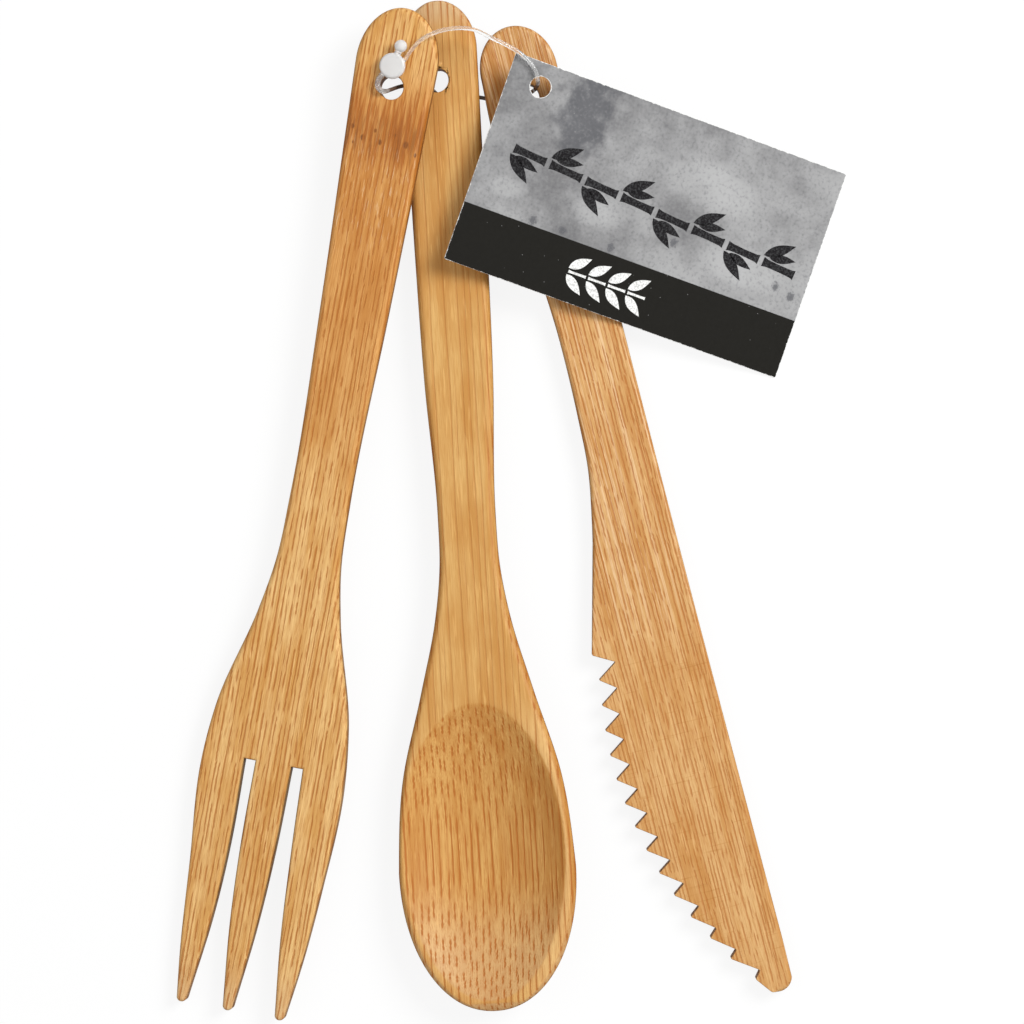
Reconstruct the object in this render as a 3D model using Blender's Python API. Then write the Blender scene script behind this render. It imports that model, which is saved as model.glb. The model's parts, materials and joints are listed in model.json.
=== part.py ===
"""A fork, a spoon and a knife cut from bamboo, and a card tag, strung on one moulded snap loop.

The pack lies on a table as it comes to rest. X runs to the right, Y towards the handle ends, Z up. The origin is the
centre of the footprint, on the table. Every strung piece is drawn in a frame of its own, with its hole at the origin,
its handle end towards +Y, its tip towards -Y and its underside at Z = 0, and is then laid down. All sizes are metres.
"""
import math

import bmesh
import bpy
import numpy as np
from mathutils import Matrix, Vector
from mathutils.bvhtree import BVHTree

# Shared sizes
CLEARANCE = 0.0003
PLANK = 0.0040
HOLE_DIAMETER = 0.0048
HOLE_SIDES = 24
HOLE_EDGE = 0.0003
ROUND_STEPS = 2

# Fork
FORK_LENGTH = 0.2014
FORK_HOLE_INSET = 0.0159
FORK_END_ROUND = 0.011
FORK_END_WIDTH = 0.0163
FORK_NECK_WIDTH = 0.0120
FORK_HEAD_WIDTH = 0.0290
FORK_EDGE = 0.0012
TINE_LENGTH = 0.0499
TINE_TIP_RADIUS = 0.0010
TINE_EDGE = 0.0007
TINE_SPREAD = 0.0100
TINE_LEAN = 0.0007
MIDDLE_TINE_WIDTH = 0.0073
SLOT_WIDTH = 0.0023
FORK_HEADING = -10.0
FORK_ROLL = 6.0

# Spoon
SPOON_LENGTH = 0.2003
SPOON_HOLE_INSET = 0.0159
SPOON_HOLE_OFFSET = -0.0008
SPOON_END_ROUND = 0.0095
SPOON_END_WIDTH = 0.0149
SPOON_NECK_WIDTH = 0.0115
BOWL_WIDTH = 0.0352
BOWL_TIP_ROUND = 0.0280
HANDLE_THICKNESS = 0.0050
BOWL_THICKNESS = 0.0088
TOP_EDGE = 0.0015
END_EDGE = 0.0030
BOWL_TIP_RISE = 0.0140
DISH_LENGTH = 0.0585
DISH_WIDTH = 0.0324
DISH_DEPTH = 0.0050
DISH_HOLLOW = 0.0250
DISH_OFFSET = -0.0005
DISH_TIP_RIM = 0.0022
SPOON_HEADING = 3.37
SPOON_ROLL = 5.0

# Knife
KNIFE_LENGTH = 0.1990
KNIFE_HOLE_INSET = 0.0144
KNIFE_HOLE_TO_SPINE = 0.0073
KNIFE_END_ROUND = 0.0090
KNIFE_END_WIDTH = 0.0153
KNIFE_GRIP_WIDTH = 0.0132
SPINE_HOLLOW = 0.0004
BLADE_WIDTH = 0.0241
HEEL_FROM_TIP = 0.0740
NOSE_RADIUS = 0.0030
KNIFE_EDGE = 0.0009
TOOTH_EDGE = 0.00015
TOOTH_COUNT = 13
TOOTH_PITCH = 0.00511
TOOTH_ROUND = 0.0003
KNIFE_HEADING = 14.48

# Card tag
TAG_LENGTH = 0.0707
TAG_WIDTH = 0.0430
TAG_THICKNESS = 0.00045
TAG_HOLE_DIAMETER = 0.0042
TAG_HOLE_FROM_END = 0.0068
TAG_HOLE_FROM_TOP = 0.0048
TAG_CORNER = 0.0004
TAG_EDGE = 0.00006
TAG_HEADING = 70.7
TAG_ROOM = 0.0008

# Snap loop
FILAMENT = 0.0008
SHAFT = 0.0011
SHAFT_LENGTH = 0.0060
LOOP_SIDES = 8
LOOP_STEPS = 3
ROUTE_UNIT = 0.001
HEAD_DIAMETER = 0.0051
HEAD_HEIGHT = 0.0017
HEAD_EDGE = 0.0005
HEAD_ACROSS = -0.0003
HEAD_ALONG = 0.0041
BALL_DIAMETER = 0.0025
BALL_REACH = 0.0042
BALL_ANGLE = 76.0
NECK_DIAMETER = 0.0014

# Where the holes lie, from the spoon's hole
FORK_HOLE = (-0.0088, -0.0018)
KNIFE_HOLE = (0.0176, -0.0030)
TAG_HOLE = (0.0201, -0.0018)

BAMBOO = (0.68, 0.40, 0.17)


def material(name, color, roughness):
    """A plain finish for one piece."""
    mat = bpy.data.materials.new(name)
    mat.use_nodes = True
    shader = mat.node_tree.nodes["Principled BSDF"]
    shader.inputs["Base Color"].default_value = (*color, 1.0)
    shader.inputs["Roughness"].default_value = roughness
    shader.inputs["Metallic"].default_value = 0.0
    return mat


def add_object(name, bm, mat=None):
    """Turns a finished bmesh into a scene object with smooth round faces."""
    bmesh.ops.recalc_face_normals(bm, faces=bm.faces)
    mesh = bpy.data.meshes.new(name)
    bm.to_mesh(mesh)
    bm.free()
    mesh.shade_smooth()
    mesh.set_sharp_from_angle(angle=math.radians(40))
    if mat:
        mesh.materials.append(mat)
    obj = bpy.data.objects.new(name, mesh)
    bpy.context.collection.objects.link(obj)
    return obj


def add_boolean(obj, form, operation):
    """Cuts a hidden form from an object, or joins it on."""
    form.hide_render = True
    form.display_type = "WIRE"
    modifier = obj.modifiers.new(form.name, "BOOLEAN")
    modifier.object = form
    modifier.operation = operation
    modifier.solver = "EXACT"


def smooth(points, at):
    """Reads a smooth curve through (distance, value) points at the given distances."""
    x, y = np.array(points, float).T
    slope = np.gradient(y, x)
    i = np.clip(np.searchsorted(x, at) - 1, 0, len(x) - 2)
    step = x[i + 1] - x[i]
    t = (at - x[i]) / step
    start = (1 + 2 * t) * (1 - t) ** 2 * y[i] + t * (1 - t) ** 2 * step * slope[i]
    end = t * t * (3 - 2 * t) * y[i + 1] - t * t * (1 - t) * step * slope[i + 1]
    return start + end


def arc(center, radii, start, stop, steps):
    """Points along an elliptical arc, angles in degrees."""
    turn = np.radians(np.linspace(start, stop, steps + 1))
    return np.column_stack((center[0] + radii[0] * np.cos(turn), center[1] + radii[1] * np.sin(turn)))


def circle(diameter):
    """A hole's ring, clockwise, so that the material lies on its left."""
    return arc((0, 0), (diameter / 2, diameter / 2), 360, 0, HOLE_SIDES)[:-1]


def inset(ring, amount):
    """Moves a closed ring into the material on its left, by an amount for each point."""
    before = ring - np.roll(ring, 1, axis=0)
    before /= np.linalg.norm(before, axis=1)[:, None]
    after = np.roll(before, -1, axis=0)
    middle = before + after
    middle /= np.linalg.norm(middle, axis=1)[:, None]
    inward = np.column_stack((-middle[:, 1], middle[:, 0]))
    stretch = 1 / np.maximum((middle * before).sum(axis=1), 0.6)
    return ring + inward * (stretch * amount)[:, None]


def plank(rings, edges, thickness):
    """A flat board from its outline and hole rings, with its upper and lower edges rounded."""
    bm = bmesh.new()
    caps = ([], [])
    for ring, edge in zip(rings, edges):
        levels = []
        for side, turns in ((-1, np.linspace(90, 0, ROUND_STEPS + 1)), (1, np.linspace(0, 90, ROUND_STEPS + 1))):
            for turn in np.radians(turns):
                flat = inset(ring, edge * (1 - math.cos(turn)))
                height = thickness / 2 + side * (thickness / 2 - edge * (1 - math.sin(turn)))
                levels.append([bm.verts.new((x, y, z)) for (x, y), z in zip(flat, height)])
        for lower, upper in zip(levels, levels[1:]):
            for i in range(len(ring)):
                bm.faces.new((lower[i - 1], lower[i], upper[i], upper[i - 1]))
        for cap, level in zip(caps, (levels[0], levels[-1])):
            cap += [bm.edges.get((level[i - 1], level[i])) for i in range(len(level))]
    for cap, up in zip(caps, (-1, 1)):
        bmesh.ops.triangle_fill(bm, use_beauty=True, edges=cap, normal=(0, 0, up))
    return bm


def fork_outline():
    """The fork's ring, and how far its edges are rounded at each point."""
    end = FORK_END_WIDTH / 2
    neck = FORK_NECK_WIDTH / 2
    head = FORK_HEAD_WIDTH / 2
    root = FORK_LENGTH - TINE_LENGTH
    tip = FORK_LENGTH - TINE_TIP_RADIUS
    slim = root - 0.053
    side = (
        (FORK_END_ROUND, end),
        (0.030, neck + 0.77 * (end - neck)),
        (0.060, neck + 0.38 * (end - neck)),
        (slim, neck),
        (root - 0.040, neck + 0.06 * (head - neck)),
        (root - 0.030, neck + 0.26 * (head - neck)),
        (root - 0.010, neck + 0.86 * (head - neck)),
        (root + 0.003, head),
        (root + 0.022, head - 0.0010),
        (root + 0.040, head - 0.0024),
        (tip, TINE_SPREAD + TINE_TIP_RADIUS),
    )
    slot = MIDDLE_TINE_WIDTH / 2 + SLOT_WIDTH
    inner = (
        (root, slot),
        (root + 0.016, slot + 0.00025),
        (root + 0.033, slot + 0.0012),
        (tip, TINE_SPREAD - TINE_TIP_RADIUS),
    )
    middle = (
        (root, MIDDLE_TINE_WIDTH / 2),
        (root + 0.016, MIDDLE_TINE_WIDTH / 2 - 0.00015),
        (root + 0.033, MIDDLE_TINE_WIDTH / 2 - 0.0010),
        (tip, TINE_TIP_RADIUS),
    )
    handle = np.linspace(FORK_END_ROUND, slim, 12)[1:]
    spread = np.linspace(slim, tip, 26)[1:]
    tine = np.linspace(tip, root, 11)
    parts = [arc((0, FORK_END_ROUND), (end, -FORK_END_ROUND), 90, 0, 9)]
    parts += [np.column_stack((smooth(side, at), at)) for at in (handle, spread)]
    parts.append(arc((TINE_SPREAD, tip), (TINE_TIP_RADIUS, TINE_TIP_RADIUS), 0, 180, 6)[1:-1])
    parts.append(np.column_stack((smooth(inner, tine), tine)))
    parts.append(np.column_stack((smooth(middle, tine[::-1]), tine[::-1])))
    parts.append(arc((0, tip), (TINE_TIP_RADIUS, TINE_TIP_RADIUS), 0, 90, 3)[1:])
    half = np.concatenate(parts)
    ring = np.concatenate((half, half[-2:0:-1] * (-1, 1)))[::-1]
    edge = np.interp(ring[:, 1], (root - 0.02, root), (FORK_EDGE, TINE_EDGE))
    bend = ((0, 0), (0.062, 0.0002), (0.107, -0.0001), (0.150, 0.0), (0.170, 0.0003), (FORK_LENGTH, -0.0001))
    in_middle = (ring[:, 1] > root) & (np.abs(ring[:, 0]) < slot - SLOT_WIDTH / 2)
    lean = np.where(in_middle, TINE_LEAN * (root - ring[:, 1]) / TINE_LENGTH, smooth(bend, ring[:, 1]))
    return np.column_stack((ring[:, 0] + lean, FORK_HOLE_INSET - ring[:, 1])), edge


def make_fork():
    """The fork: a bamboo plank with two sawn slots and a drilled hole."""
    ring, edge = fork_outline()
    hole = circle(HOLE_DIAMETER)
    bm = plank((ring, hole), (edge, np.full(len(hole), HOLE_EDGE)), PLANK)
    return add_object("fork", bm, material("fork_bamboo", BAMBOO, 0.45))


def spoon_half_width(at):
    """Half the spoon's width at each distance from its handle end."""
    end = SPOON_END_WIDTH / 2
    neck = SPOON_NECK_WIDTH / 2
    bowl = BOWL_WIDTH / 2
    widest = SPOON_LENGTH - BOWL_TIP_ROUND
    side = (
        (SPOON_END_ROUND, end),
        (0.050, end - 0.0002),
        (widest - 0.097, neck + 0.65 * (end - neck)),
        (widest - 0.070, neck),
        (widest - 0.060, neck + 0.02 * (bowl - neck)),
        (widest - 0.050, neck + 0.14 * (bowl - neck)),
        (widest - 0.035, neck + 0.46 * (bowl - neck)),
        (widest - 0.018, neck + 0.85 * (bowl - neck)),
        (widest, bowl),
        (SPOON_LENGTH, bowl),
    )
    width = smooth(side, at)
    end_turn = np.clip((SPOON_END_ROUND - at) / SPOON_END_ROUND, 0, 1)
    tip_turn = np.clip((at - widest) / BOWL_TIP_ROUND, 0, 1)
    width = np.where(end_turn > 0, end * np.sqrt(1 - end_turn ** 2), width)
    return np.where(tip_turn > 0, bowl * (1 - tip_turn ** 2.1) ** (1 / 2.1), width)


def make_spoon_blank():
    """The spoon before its dish is milled: a shaped bar with a flat top and a rounded underside."""
    widest = SPOON_LENGTH - BOWL_TIP_ROUND
    end_turn = np.radians(np.linspace(0, 90, 8))[1:]
    at = np.concatenate((
        SPOON_END_ROUND * (1 - np.cos(end_turn)),
        np.linspace(SPOON_END_ROUND, widest - 0.070, 12)[1:],
        np.linspace(widest - 0.070, widest, 20)[1:],
        widest + BOWL_TIP_ROUND * np.sin(np.radians(np.linspace(0, 90, 14)))[1:-1],
    ))
    width = spoon_half_width(at)
    swell = np.clip((at - (widest - 0.072)) / 0.050, 0, 1)
    swell = swell * swell * (3 - 2 * swell)
    near_end = np.clip((END_EDGE - at) / END_EDGE, 0, 1)
    near_tip = np.clip((at - (SPOON_LENGTH - BOWL_TIP_RISE)) / BOWL_TIP_RISE, 0, 1)
    ends = np.sqrt(1 - near_end ** 2) * np.sqrt(1 - near_tip ** 2)
    depth = HANDLE_THICKNESS - TOP_EDGE + (BOWL_THICKNESS - HANDLE_THICKNESS) * swell
    edge = np.minimum(TOP_EDGE, 0.5 * width)
    bm = bmesh.new()
    levels = []
    for s, half, below, top, swollen, full in zip(at, width, depth * ends, edge, swell, ends):
        power = 2 / (3.2 - swollen)
        under = np.radians(np.linspace(180, 360, 13))
        cos, sin = np.cos(under), np.sin(under)
        x = half * np.sign(cos) * np.abs(cos) ** power
        z = HANDLE_THICKNESS - TOP_EDGE - below * np.abs(sin) ** power
        over = np.radians(np.linspace(0, 90, 4))
        rise = TOP_EDGE * min(1.0, 2 * full) * np.sin(over[1:])
        across = half - top * (1 - np.cos(over[1:]))
        lift = HANDLE_THICKNESS - TOP_EDGE + rise
        x = np.concatenate((x, across, -across[::-1]))
        z = np.concatenate((z, lift, lift[::-1]))
        levels.append([bm.verts.new((a, SPOON_HOLE_INSET - s, b)) for a, b in zip(x, z)])
    for lower, upper in zip(levels, levels[1:]):
        for i in range(len(lower)):
            bm.faces.new((lower[i - 1], lower[i], upper[i], upper[i - 1]))
    for level, y in ((levels[0], SPOON_HOLE_INSET), (levels[-1], SPOON_HOLE_INSET - SPOON_LENGTH)):
        pole = bm.verts.new((0, y, HANDLE_THICKNESS - TOP_EDGE))
        for i in range(len(level)):
            bm.faces.new((level[i - 1], level[i], pole))
    bmesh.ops.translate(bm, vec=(-SPOON_HOLE_OFFSET, 0, 0), verts=bm.verts)
    return bm


def make_spoon():
    """The spoon: its blank, less the milled dish and the drilled hole."""
    spoon = add_object("spoon", make_spoon_blank(), material("spoon_bamboo", BAMBOO, 0.45))
    dish = bmesh.new()
    bmesh.ops.create_uvsphere(dish, u_segments=64, v_segments=48, radius=1.0)
    rise = DISH_HOLLOW - DISH_DEPTH
    reach = math.sqrt(1 - (rise / DISH_HOLLOW) ** 2)
    size = (DISH_WIDTH / 2 / reach, DISH_LENGTH / 2 / reach, DISH_HOLLOW)
    bmesh.ops.scale(dish, vec=size, verts=dish.verts)
    middle = SPOON_HOLE_INSET - SPOON_LENGTH + DISH_TIP_RIM + DISH_LENGTH / 2
    place = (DISH_OFFSET - SPOON_HOLE_OFFSET, middle, HANDLE_THICKNESS + rise)
    bmesh.ops.translate(dish, vec=place, verts=dish.verts)
    drill = bmesh.new()
    bmesh.ops.create_cone(
        drill, cap_ends=True, segments=HOLE_SIDES, radius1=HOLE_DIAMETER / 2, radius2=HOLE_DIAMETER / 2,
        depth=3 * HANDLE_THICKNESS)
    forms = [add_object("spoon_dish_form", dish), add_object("spoon_drill_form", drill)]
    for form in forms:
        add_boolean(spoon, form, "DIFFERENCE")
    return spoon, forms


def soften(points, reach):
    """Cuts each corner of a path of points back to a small round."""
    out = []
    for before, corner, after in zip(points, points[1:], points[2:]):
        start = corner + (before - corner) * min(0.4, reach / np.linalg.norm(before - corner))
        stop = corner + (after - corner) * min(0.4, reach / np.linalg.norm(after - corner))
        out += [start, 0.5 * corner + 0.25 * (start + stop), stop]
    return out


def saw_teeth(heel):
    """The toothed edge from the heel to the last notch, as (distance, depth from the spine) points."""
    tips = ((0.0051, 0.0016), (0.0173, 0.0001), (0.0251, 0), (0.0350, 0.0012), (0.0452, 0.0036), (0.0554, 0.0076),
            (0.0654, 0.0132))
    roots = ((0.0024, 0.0057), (0.0125, 0.0040), (0.0225, 0.0034), (0.0328, 0.0043), (0.0431, 0.0064),
             (0.0535, 0.00965), (0.0639, 0.0148), (0.0688, 0.0182))
    points = []
    for i in range(TOOTH_COUNT + 1):
        notch = roots[0][0] + i * TOOTH_PITCH
        points.append(np.array((heel + notch, BLADE_WIDTH - smooth(roots, notch))))
        if i < TOOTH_COUNT:
            point = notch + 0.0027 - 0.0012 * i / (TOOTH_COUNT - 1)
            points.append(np.array((heel + point, BLADE_WIDTH - smooth(tips, point))))
    return points


def knife_outline():
    """The knife's ring, and how far its edges are rounded at each point."""
    half_end = KNIFE_END_WIDTH / 2
    heel = KNIFE_LENGTH - HEEL_FROM_TIP
    grip = (
        (KNIFE_END_ROUND, KNIFE_END_WIDTH),
        (0.0200, KNIFE_END_WIDTH + 0.0005),
        (0.0320, KNIFE_END_WIDTH - 0.0001),
        (heel - 0.062, KNIFE_GRIP_WIDTH),
        (heel - 0.046, KNIFE_GRIP_WIDTH + 0.0003),
        (heel - 0.036, KNIFE_GRIP_WIDTH + 0.0009),
        (heel - 0.026, BLADE_WIDTH - 0.0082),
        (heel, BLADE_WIDTH - 0.0015),
    )
    at = np.concatenate((np.linspace(KNIFE_END_ROUND, heel - 0.062, 8)[1:], heel - np.arange(0.056, 0.020, -0.006)))
    end = arc((KNIFE_END_ROUND, half_end), (-KNIFE_END_ROUND, -half_end), 90, -90, 14)
    teeth = saw_teeth(heel)
    tip = KNIFE_LENGTH
    nose = [np.array(p) for p in ((tip - 0.0036, 0.0072), (tip - 0.0004, 0.0048))]
    corners = [np.array((heel, BLADE_WIDTH - 0.0015))] + teeth + nose
    path = [np.array((at[-1], smooth(grip, at[-1])))] + corners + [np.array((tip, NOSE_RADIUS + 0.0010))]
    outline = [*end, *np.column_stack((at, smooth(grip, at))), *soften(path, TOOTH_ROUND)]
    outline += list(arc((tip - NOSE_RADIUS, NOSE_RADIUS), (NOSE_RADIUS, -NOSE_RADIUS), -20, 75, 5))
    outline.append(np.array((tip - 0.010, 0.0)))
    hollow = np.linspace(0, math.pi, 9)[:-1]
    spine = np.linspace(tip - 0.020, KNIFE_END_ROUND, 9)[:-1]
    outline += list(np.column_stack((spine, SPINE_HOLLOW * np.sin(hollow))))
    ring = np.array(outline)
    teeth_zone = (ring[:, 0] > heel - 0.002) & (ring[:, 1] > 0.004)
    edge = np.where(teeth_zone, TOOTH_EDGE, KNIFE_EDGE)
    across = KNIFE_HOLE_TO_SPINE - ring[:, 1]
    along = KNIFE_HOLE_INSET - ring[:, 0]
    return np.column_stack((across, along)), edge


def make_knife():
    """The knife: a bamboo plank with a straight spine and a sawn edge."""
    ring, edge = knife_outline()
    hole = circle(HOLE_DIAMETER)
    bm = plank((ring, hole), (edge, np.full(len(hole), HOLE_EDGE)), PLANK)
    return add_object("knife", bm, material("knife_bamboo", BAMBOO, 0.45))


def make_tag():
    """The tag: one punched card."""
    right, left = TAG_HOLE_FROM_TOP, TAG_HOLE_FROM_TOP - TAG_WIDTH
    top, low = TAG_HOLE_FROM_END, TAG_HOLE_FROM_END - TAG_LENGTH
    ring = []
    for x, y, start in ((right, top, 0), (left, top, 90), (left, low, 180), (right, low, 270)):
        center = (x - math.copysign(TAG_CORNER, x), y - math.copysign(TAG_CORNER, y))
        ring += list(arc(center, (TAG_CORNER, TAG_CORNER), start, start + 90, 3))
    rings = (np.array(ring), circle(TAG_HOLE_DIAMETER))
    edges = [np.full(len(r), TAG_EDGE) for r in rings]
    return add_object("swing_tag", plank(rings, edges, TAG_THICKNESS), material("tag_card", (0.22, 0.22, 0.23), 0.6))


def own_mesh(obj):
    """A piece's finished mesh: its points in its own frame, and its faces."""
    graph = bpy.context.evaluated_depsgraph_get()
    evaluated = obj.evaluated_get(graph)
    mesh = evaluated.to_mesh()
    points = np.array([v.co[:] for v in mesh.vertices])
    faces = [tuple(p.vertices) for p in mesh.polygons]
    evaluated.to_mesh_clear()
    return points, faces


def laid(hole, heading, roll, pitch, height=0.0):
    """The placing of a strung piece: about its hole, turned by heading, right side up by roll, tip down by pitch."""
    turn = Matrix.Rotation(math.radians(heading), 4, "Z")
    tilt = Matrix.Rotation(math.radians(pitch), 4, "X") @ Matrix.Rotation(math.radians(-roll), 4, "Y")
    return Matrix.Translation((hole[0], hole[1], height)) @ turn @ tilt


def moved(points, placing):
    """Points carried by a placing."""
    m = np.array(placing)
    return points @ m[:3, :3].T + m[:3, 3]


def height_over(points, faces, supports):
    """How high a piece that is given at height 0 must be lifted until it just clears what lies under it."""
    above = BVHTree.FromPolygons([Vector(p) for p in points], faces)
    need = -1.0
    for other, other_faces in supports:
        under = BVHTree.FromPolygons([Vector(p) for p in other], other_faces)
        for x, y, z in points:
            hit = under.ray_cast(Vector((x, y, 1.0)), Vector((0, 0, -1)))[0]
            need = max(need, hit.z - z) if hit else need
        for x, y, z in other:
            hit = above.ray_cast(Vector((x, y, -1.0)), Vector((0, 0, 1)))[0]
            need = max(need, z - hit.z) if hit else need
    return need


def along_edges(points, faces, spacing=0.001):
    """Extra points along every edge that is much longer than the spacing."""
    edges = {tuple(sorted(pair)) for face in faces for pair in zip(face, face[1:] + face[:1])}
    extra = []
    for a, b in edges:
        count = int(np.linalg.norm(points[a] - points[b]) / spacing)
        if count > 2:
            extra += list(points[a] + np.outer(np.arange(1, count) / count, points[b] - points[a]))
    return np.array(extra).reshape(-1, 3)


def lay_down(obj, hole, heading, roll, gap, supports=None):
    """Tips a piece about its hole until its tip meets the table, its hole end held a gap above what is under it."""
    points, faces = own_mesh(obj)
    if supports:
        points = np.concatenate((points, along_edges(points, faces)))
    low, high = -8.0, 12.0
    for _ in range(18):
        pitch = (low + high) / 2
        flat = moved(points, laid(hole, heading, roll, pitch))
        height = gap + (height_over(flat, faces, supports) if supports else 0.0)
        if flat[:, 2].min() + height > 0:
            low = pitch
        else:
            high = pitch
    obj.matrix_world = laid(hole, heading, roll, low, height)
    return moved(points, obj.matrix_world), faces


# The loop's route from its head over to the tag, down through tag and knife, back under them, up through spoon and
# fork and into the head again: the piece that a point is measured from, and the point in its frame, in route units.
ROUTE = (
    ("fork", 0.50, 4.60, 5.15),
    ("fork", 1.70, 5.40, 5.20),
    ("fork", 2.70, 7.40, 5.40),
    ("fork", 3.95, 9.40, 5.55),
    ("fork", 5.50, 10.95, 5.60),
    ("fork", 7.30, 12.10, 5.55),
    ("fork", 10.80, 13.45, 5.20),
    ("fork", 14.25, 13.80, 4.60),
    ("swing_tag", 5.60, 12.60, 1.50),
    ("swing_tag", 5.30, 9.20, 1.50),
    ("swing_tag", 4.75, 6.20, 1.50),
    ("swing_tag", 3.85, 3.95, 1.50),
    ("swing_tag", 2.70, 2.25, 1.45),
    ("swing_tag", 1.30, 1.20, 1.15),
    ("swing_tag", 0.50, 0.70, 0.30),
    ("swing_tag", -0.10, 0.60, -0.80),
    ("knife", 1.50, 0.60, 6.20),
    ("knife", 0.95, 0.50, 4.60),
    ("knife", 0.10, 0.40, 2.50),
    ("knife", -0.90, 0.36, 0.90),
    ("knife", -1.50, 0.38, 0.00),
    ("knife", -2.30, 0.48, -0.52),
    ("knife", -3.60, 0.70, -0.68),
    ("knife", -5.45, 1.00, -0.68),
    ("spoon", 9.50, -3.65, -1.57),
    ("spoon", 7.86, -3.25, -1.41),
    ("spoon", 5.60, -3.05, -1.22),
    ("spoon", 3.60, -3.00, -1.05),
    ("spoon", 1.80, -2.85, -0.89),
    ("spoon", 0.40, -2.55, -0.76),
    ("spoon", -0.55, -2.10, -0.64),
    ("spoon", -1.12, -1.55, -0.35),
    ("spoon", -1.38, -1.18, 0.50),
    ("spoon", -1.52, -0.92, 1.80),
    ("spoon", -1.60, -0.68, 3.20),
    ("spoon", -1.60, -0.40, 4.55),
    ("spoon", -1.86, -0.16, 5.40),
    ("spoon", -2.60, 0.04, 5.68),
    ("spoon", -3.60, 0.16, 5.72),
    ("fork", 3.60, 1.85, -0.75),
    ("fork", 2.35, 1.30, -0.66),
    ("fork", 1.50, 0.90, -0.15),
    ("fork", 1.05, 0.60, 0.70),
    ("fork", 0.45, 0.06, 2.20),
    ("fork", -0.20, -0.55, 3.80),
    ("fork", -0.90, -1.00, 4.70),
    ("fork", -1.65, -1.05, 5.12),
    ("fork", -2.40, -0.45, 5.15),
    ("fork", -2.62, 0.60, 5.15),
    ("fork", -2.25, 1.70, 5.15),
    ("fork", -1.55, 2.70, 5.15),
    ("fork", -0.90, 3.50, 5.15),
)


def tube(path, radii, sides):
    """A round bar of changing radius along a path of points."""
    path = np.array(path, float)
    along = np.gradient(path, axis=0)
    along /= np.linalg.norm(along, axis=1)[:, None]
    across = np.cross(along[0], (0.0, 0.0, 1.0) if abs(along[0][2]) < 0.9 else (1.0, 0.0, 0.0))
    turn = np.linspace(0, 2 * math.pi, sides, endpoint=False)
    bm = bmesh.new()
    rings = []
    for point, way, radius in zip(path, along, radii):
        across -= way * np.dot(across, way)
        across /= np.linalg.norm(across)
        up = np.cross(way, across)
        spokes = np.outer(np.cos(turn), across) + np.outer(np.sin(turn), up)
        rings.append([bm.verts.new(point + radius * spoke) for spoke in spokes])
    for lower, upper in zip(rings, rings[1:]):
        for i in range(sides):
            bm.faces.new((lower[i - 1], lower[i], upper[i], upper[i - 1]))
    bm.faces.new(rings[0])
    bm.faces.new(rings[-1])
    return bm


def make_loop(strung):
    """The snap loop: a thin nylon filament that ends in a thicker shaft, with the head and ball that close it."""
    points = np.array([strung[name].matrix_world @ (Vector(point) * ROUTE_UNIT) for name, *point in ROUTE])
    steps = np.linalg.norm(np.diff(points, axis=0), axis=1)
    distance = np.concatenate(((0.0,), np.cumsum(steps)))
    count = (len(points) - 1) * LOOP_STEPS + 1
    at = np.interp(np.linspace(0, len(points) - 1, count), range(len(points)), distance)
    path = np.column_stack([smooth(np.column_stack((distance, c)), at) for c in points.T])
    left = distance[-1] - at
    radii = np.interp(left, (SHAFT_LENGTH - 0.001, SHAFT_LENGTH + 0.001), (SHAFT / 2, FILAMENT / 2))
    loop = add_object("loop_fastener", tube(path, radii, LOOP_SIDES), material("loop_nylon", (0.86, 0.86, 0.84), 0.4))

    edge = np.full(HOLE_SIDES, HEAD_EDGE)
    head = plank((circle(HEAD_DIAMETER)[::-1],), (edge,), HEAD_HEIGHT)
    bmesh.ops.translate(head, vec=(HEAD_ACROSS, HEAD_ALONG, PLANK + CLEARANCE), verts=head.verts)

    ball = BALL_DIAMETER / 2
    level = PLANK + CLEARANCE + ball
    way = Vector((math.cos(math.radians(BALL_ANGLE)), math.sin(math.radians(BALL_ANGLE)), 0))
    middle = Vector((HEAD_ACROSS, HEAD_ALONG, PLANK + CLEARANCE + HEAD_HEIGHT / 2))
    centre = Vector((*(middle + way * BALL_REACH)[:2], level))
    slant = (centre - middle).normalized()
    meet = math.asin(NECK_DIAMETER / BALL_DIAMETER)
    turns = np.linspace(meet, math.radians(172), 10)
    stations = [middle] + [centre - slant * ball * math.cos(t) for t in turns]
    sizes = [NECK_DIAMETER / 2] + [ball * math.sin(t) for t in turns]
    forms = [add_object("loop_head_form", head), add_object("loop_ball_form", tube(stations, sizes, 12))]
    for form in forms:
        form.matrix_world = strung["fork"].matrix_world
        add_boolean(loop, form, "UNION")
    return loop, forms


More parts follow.
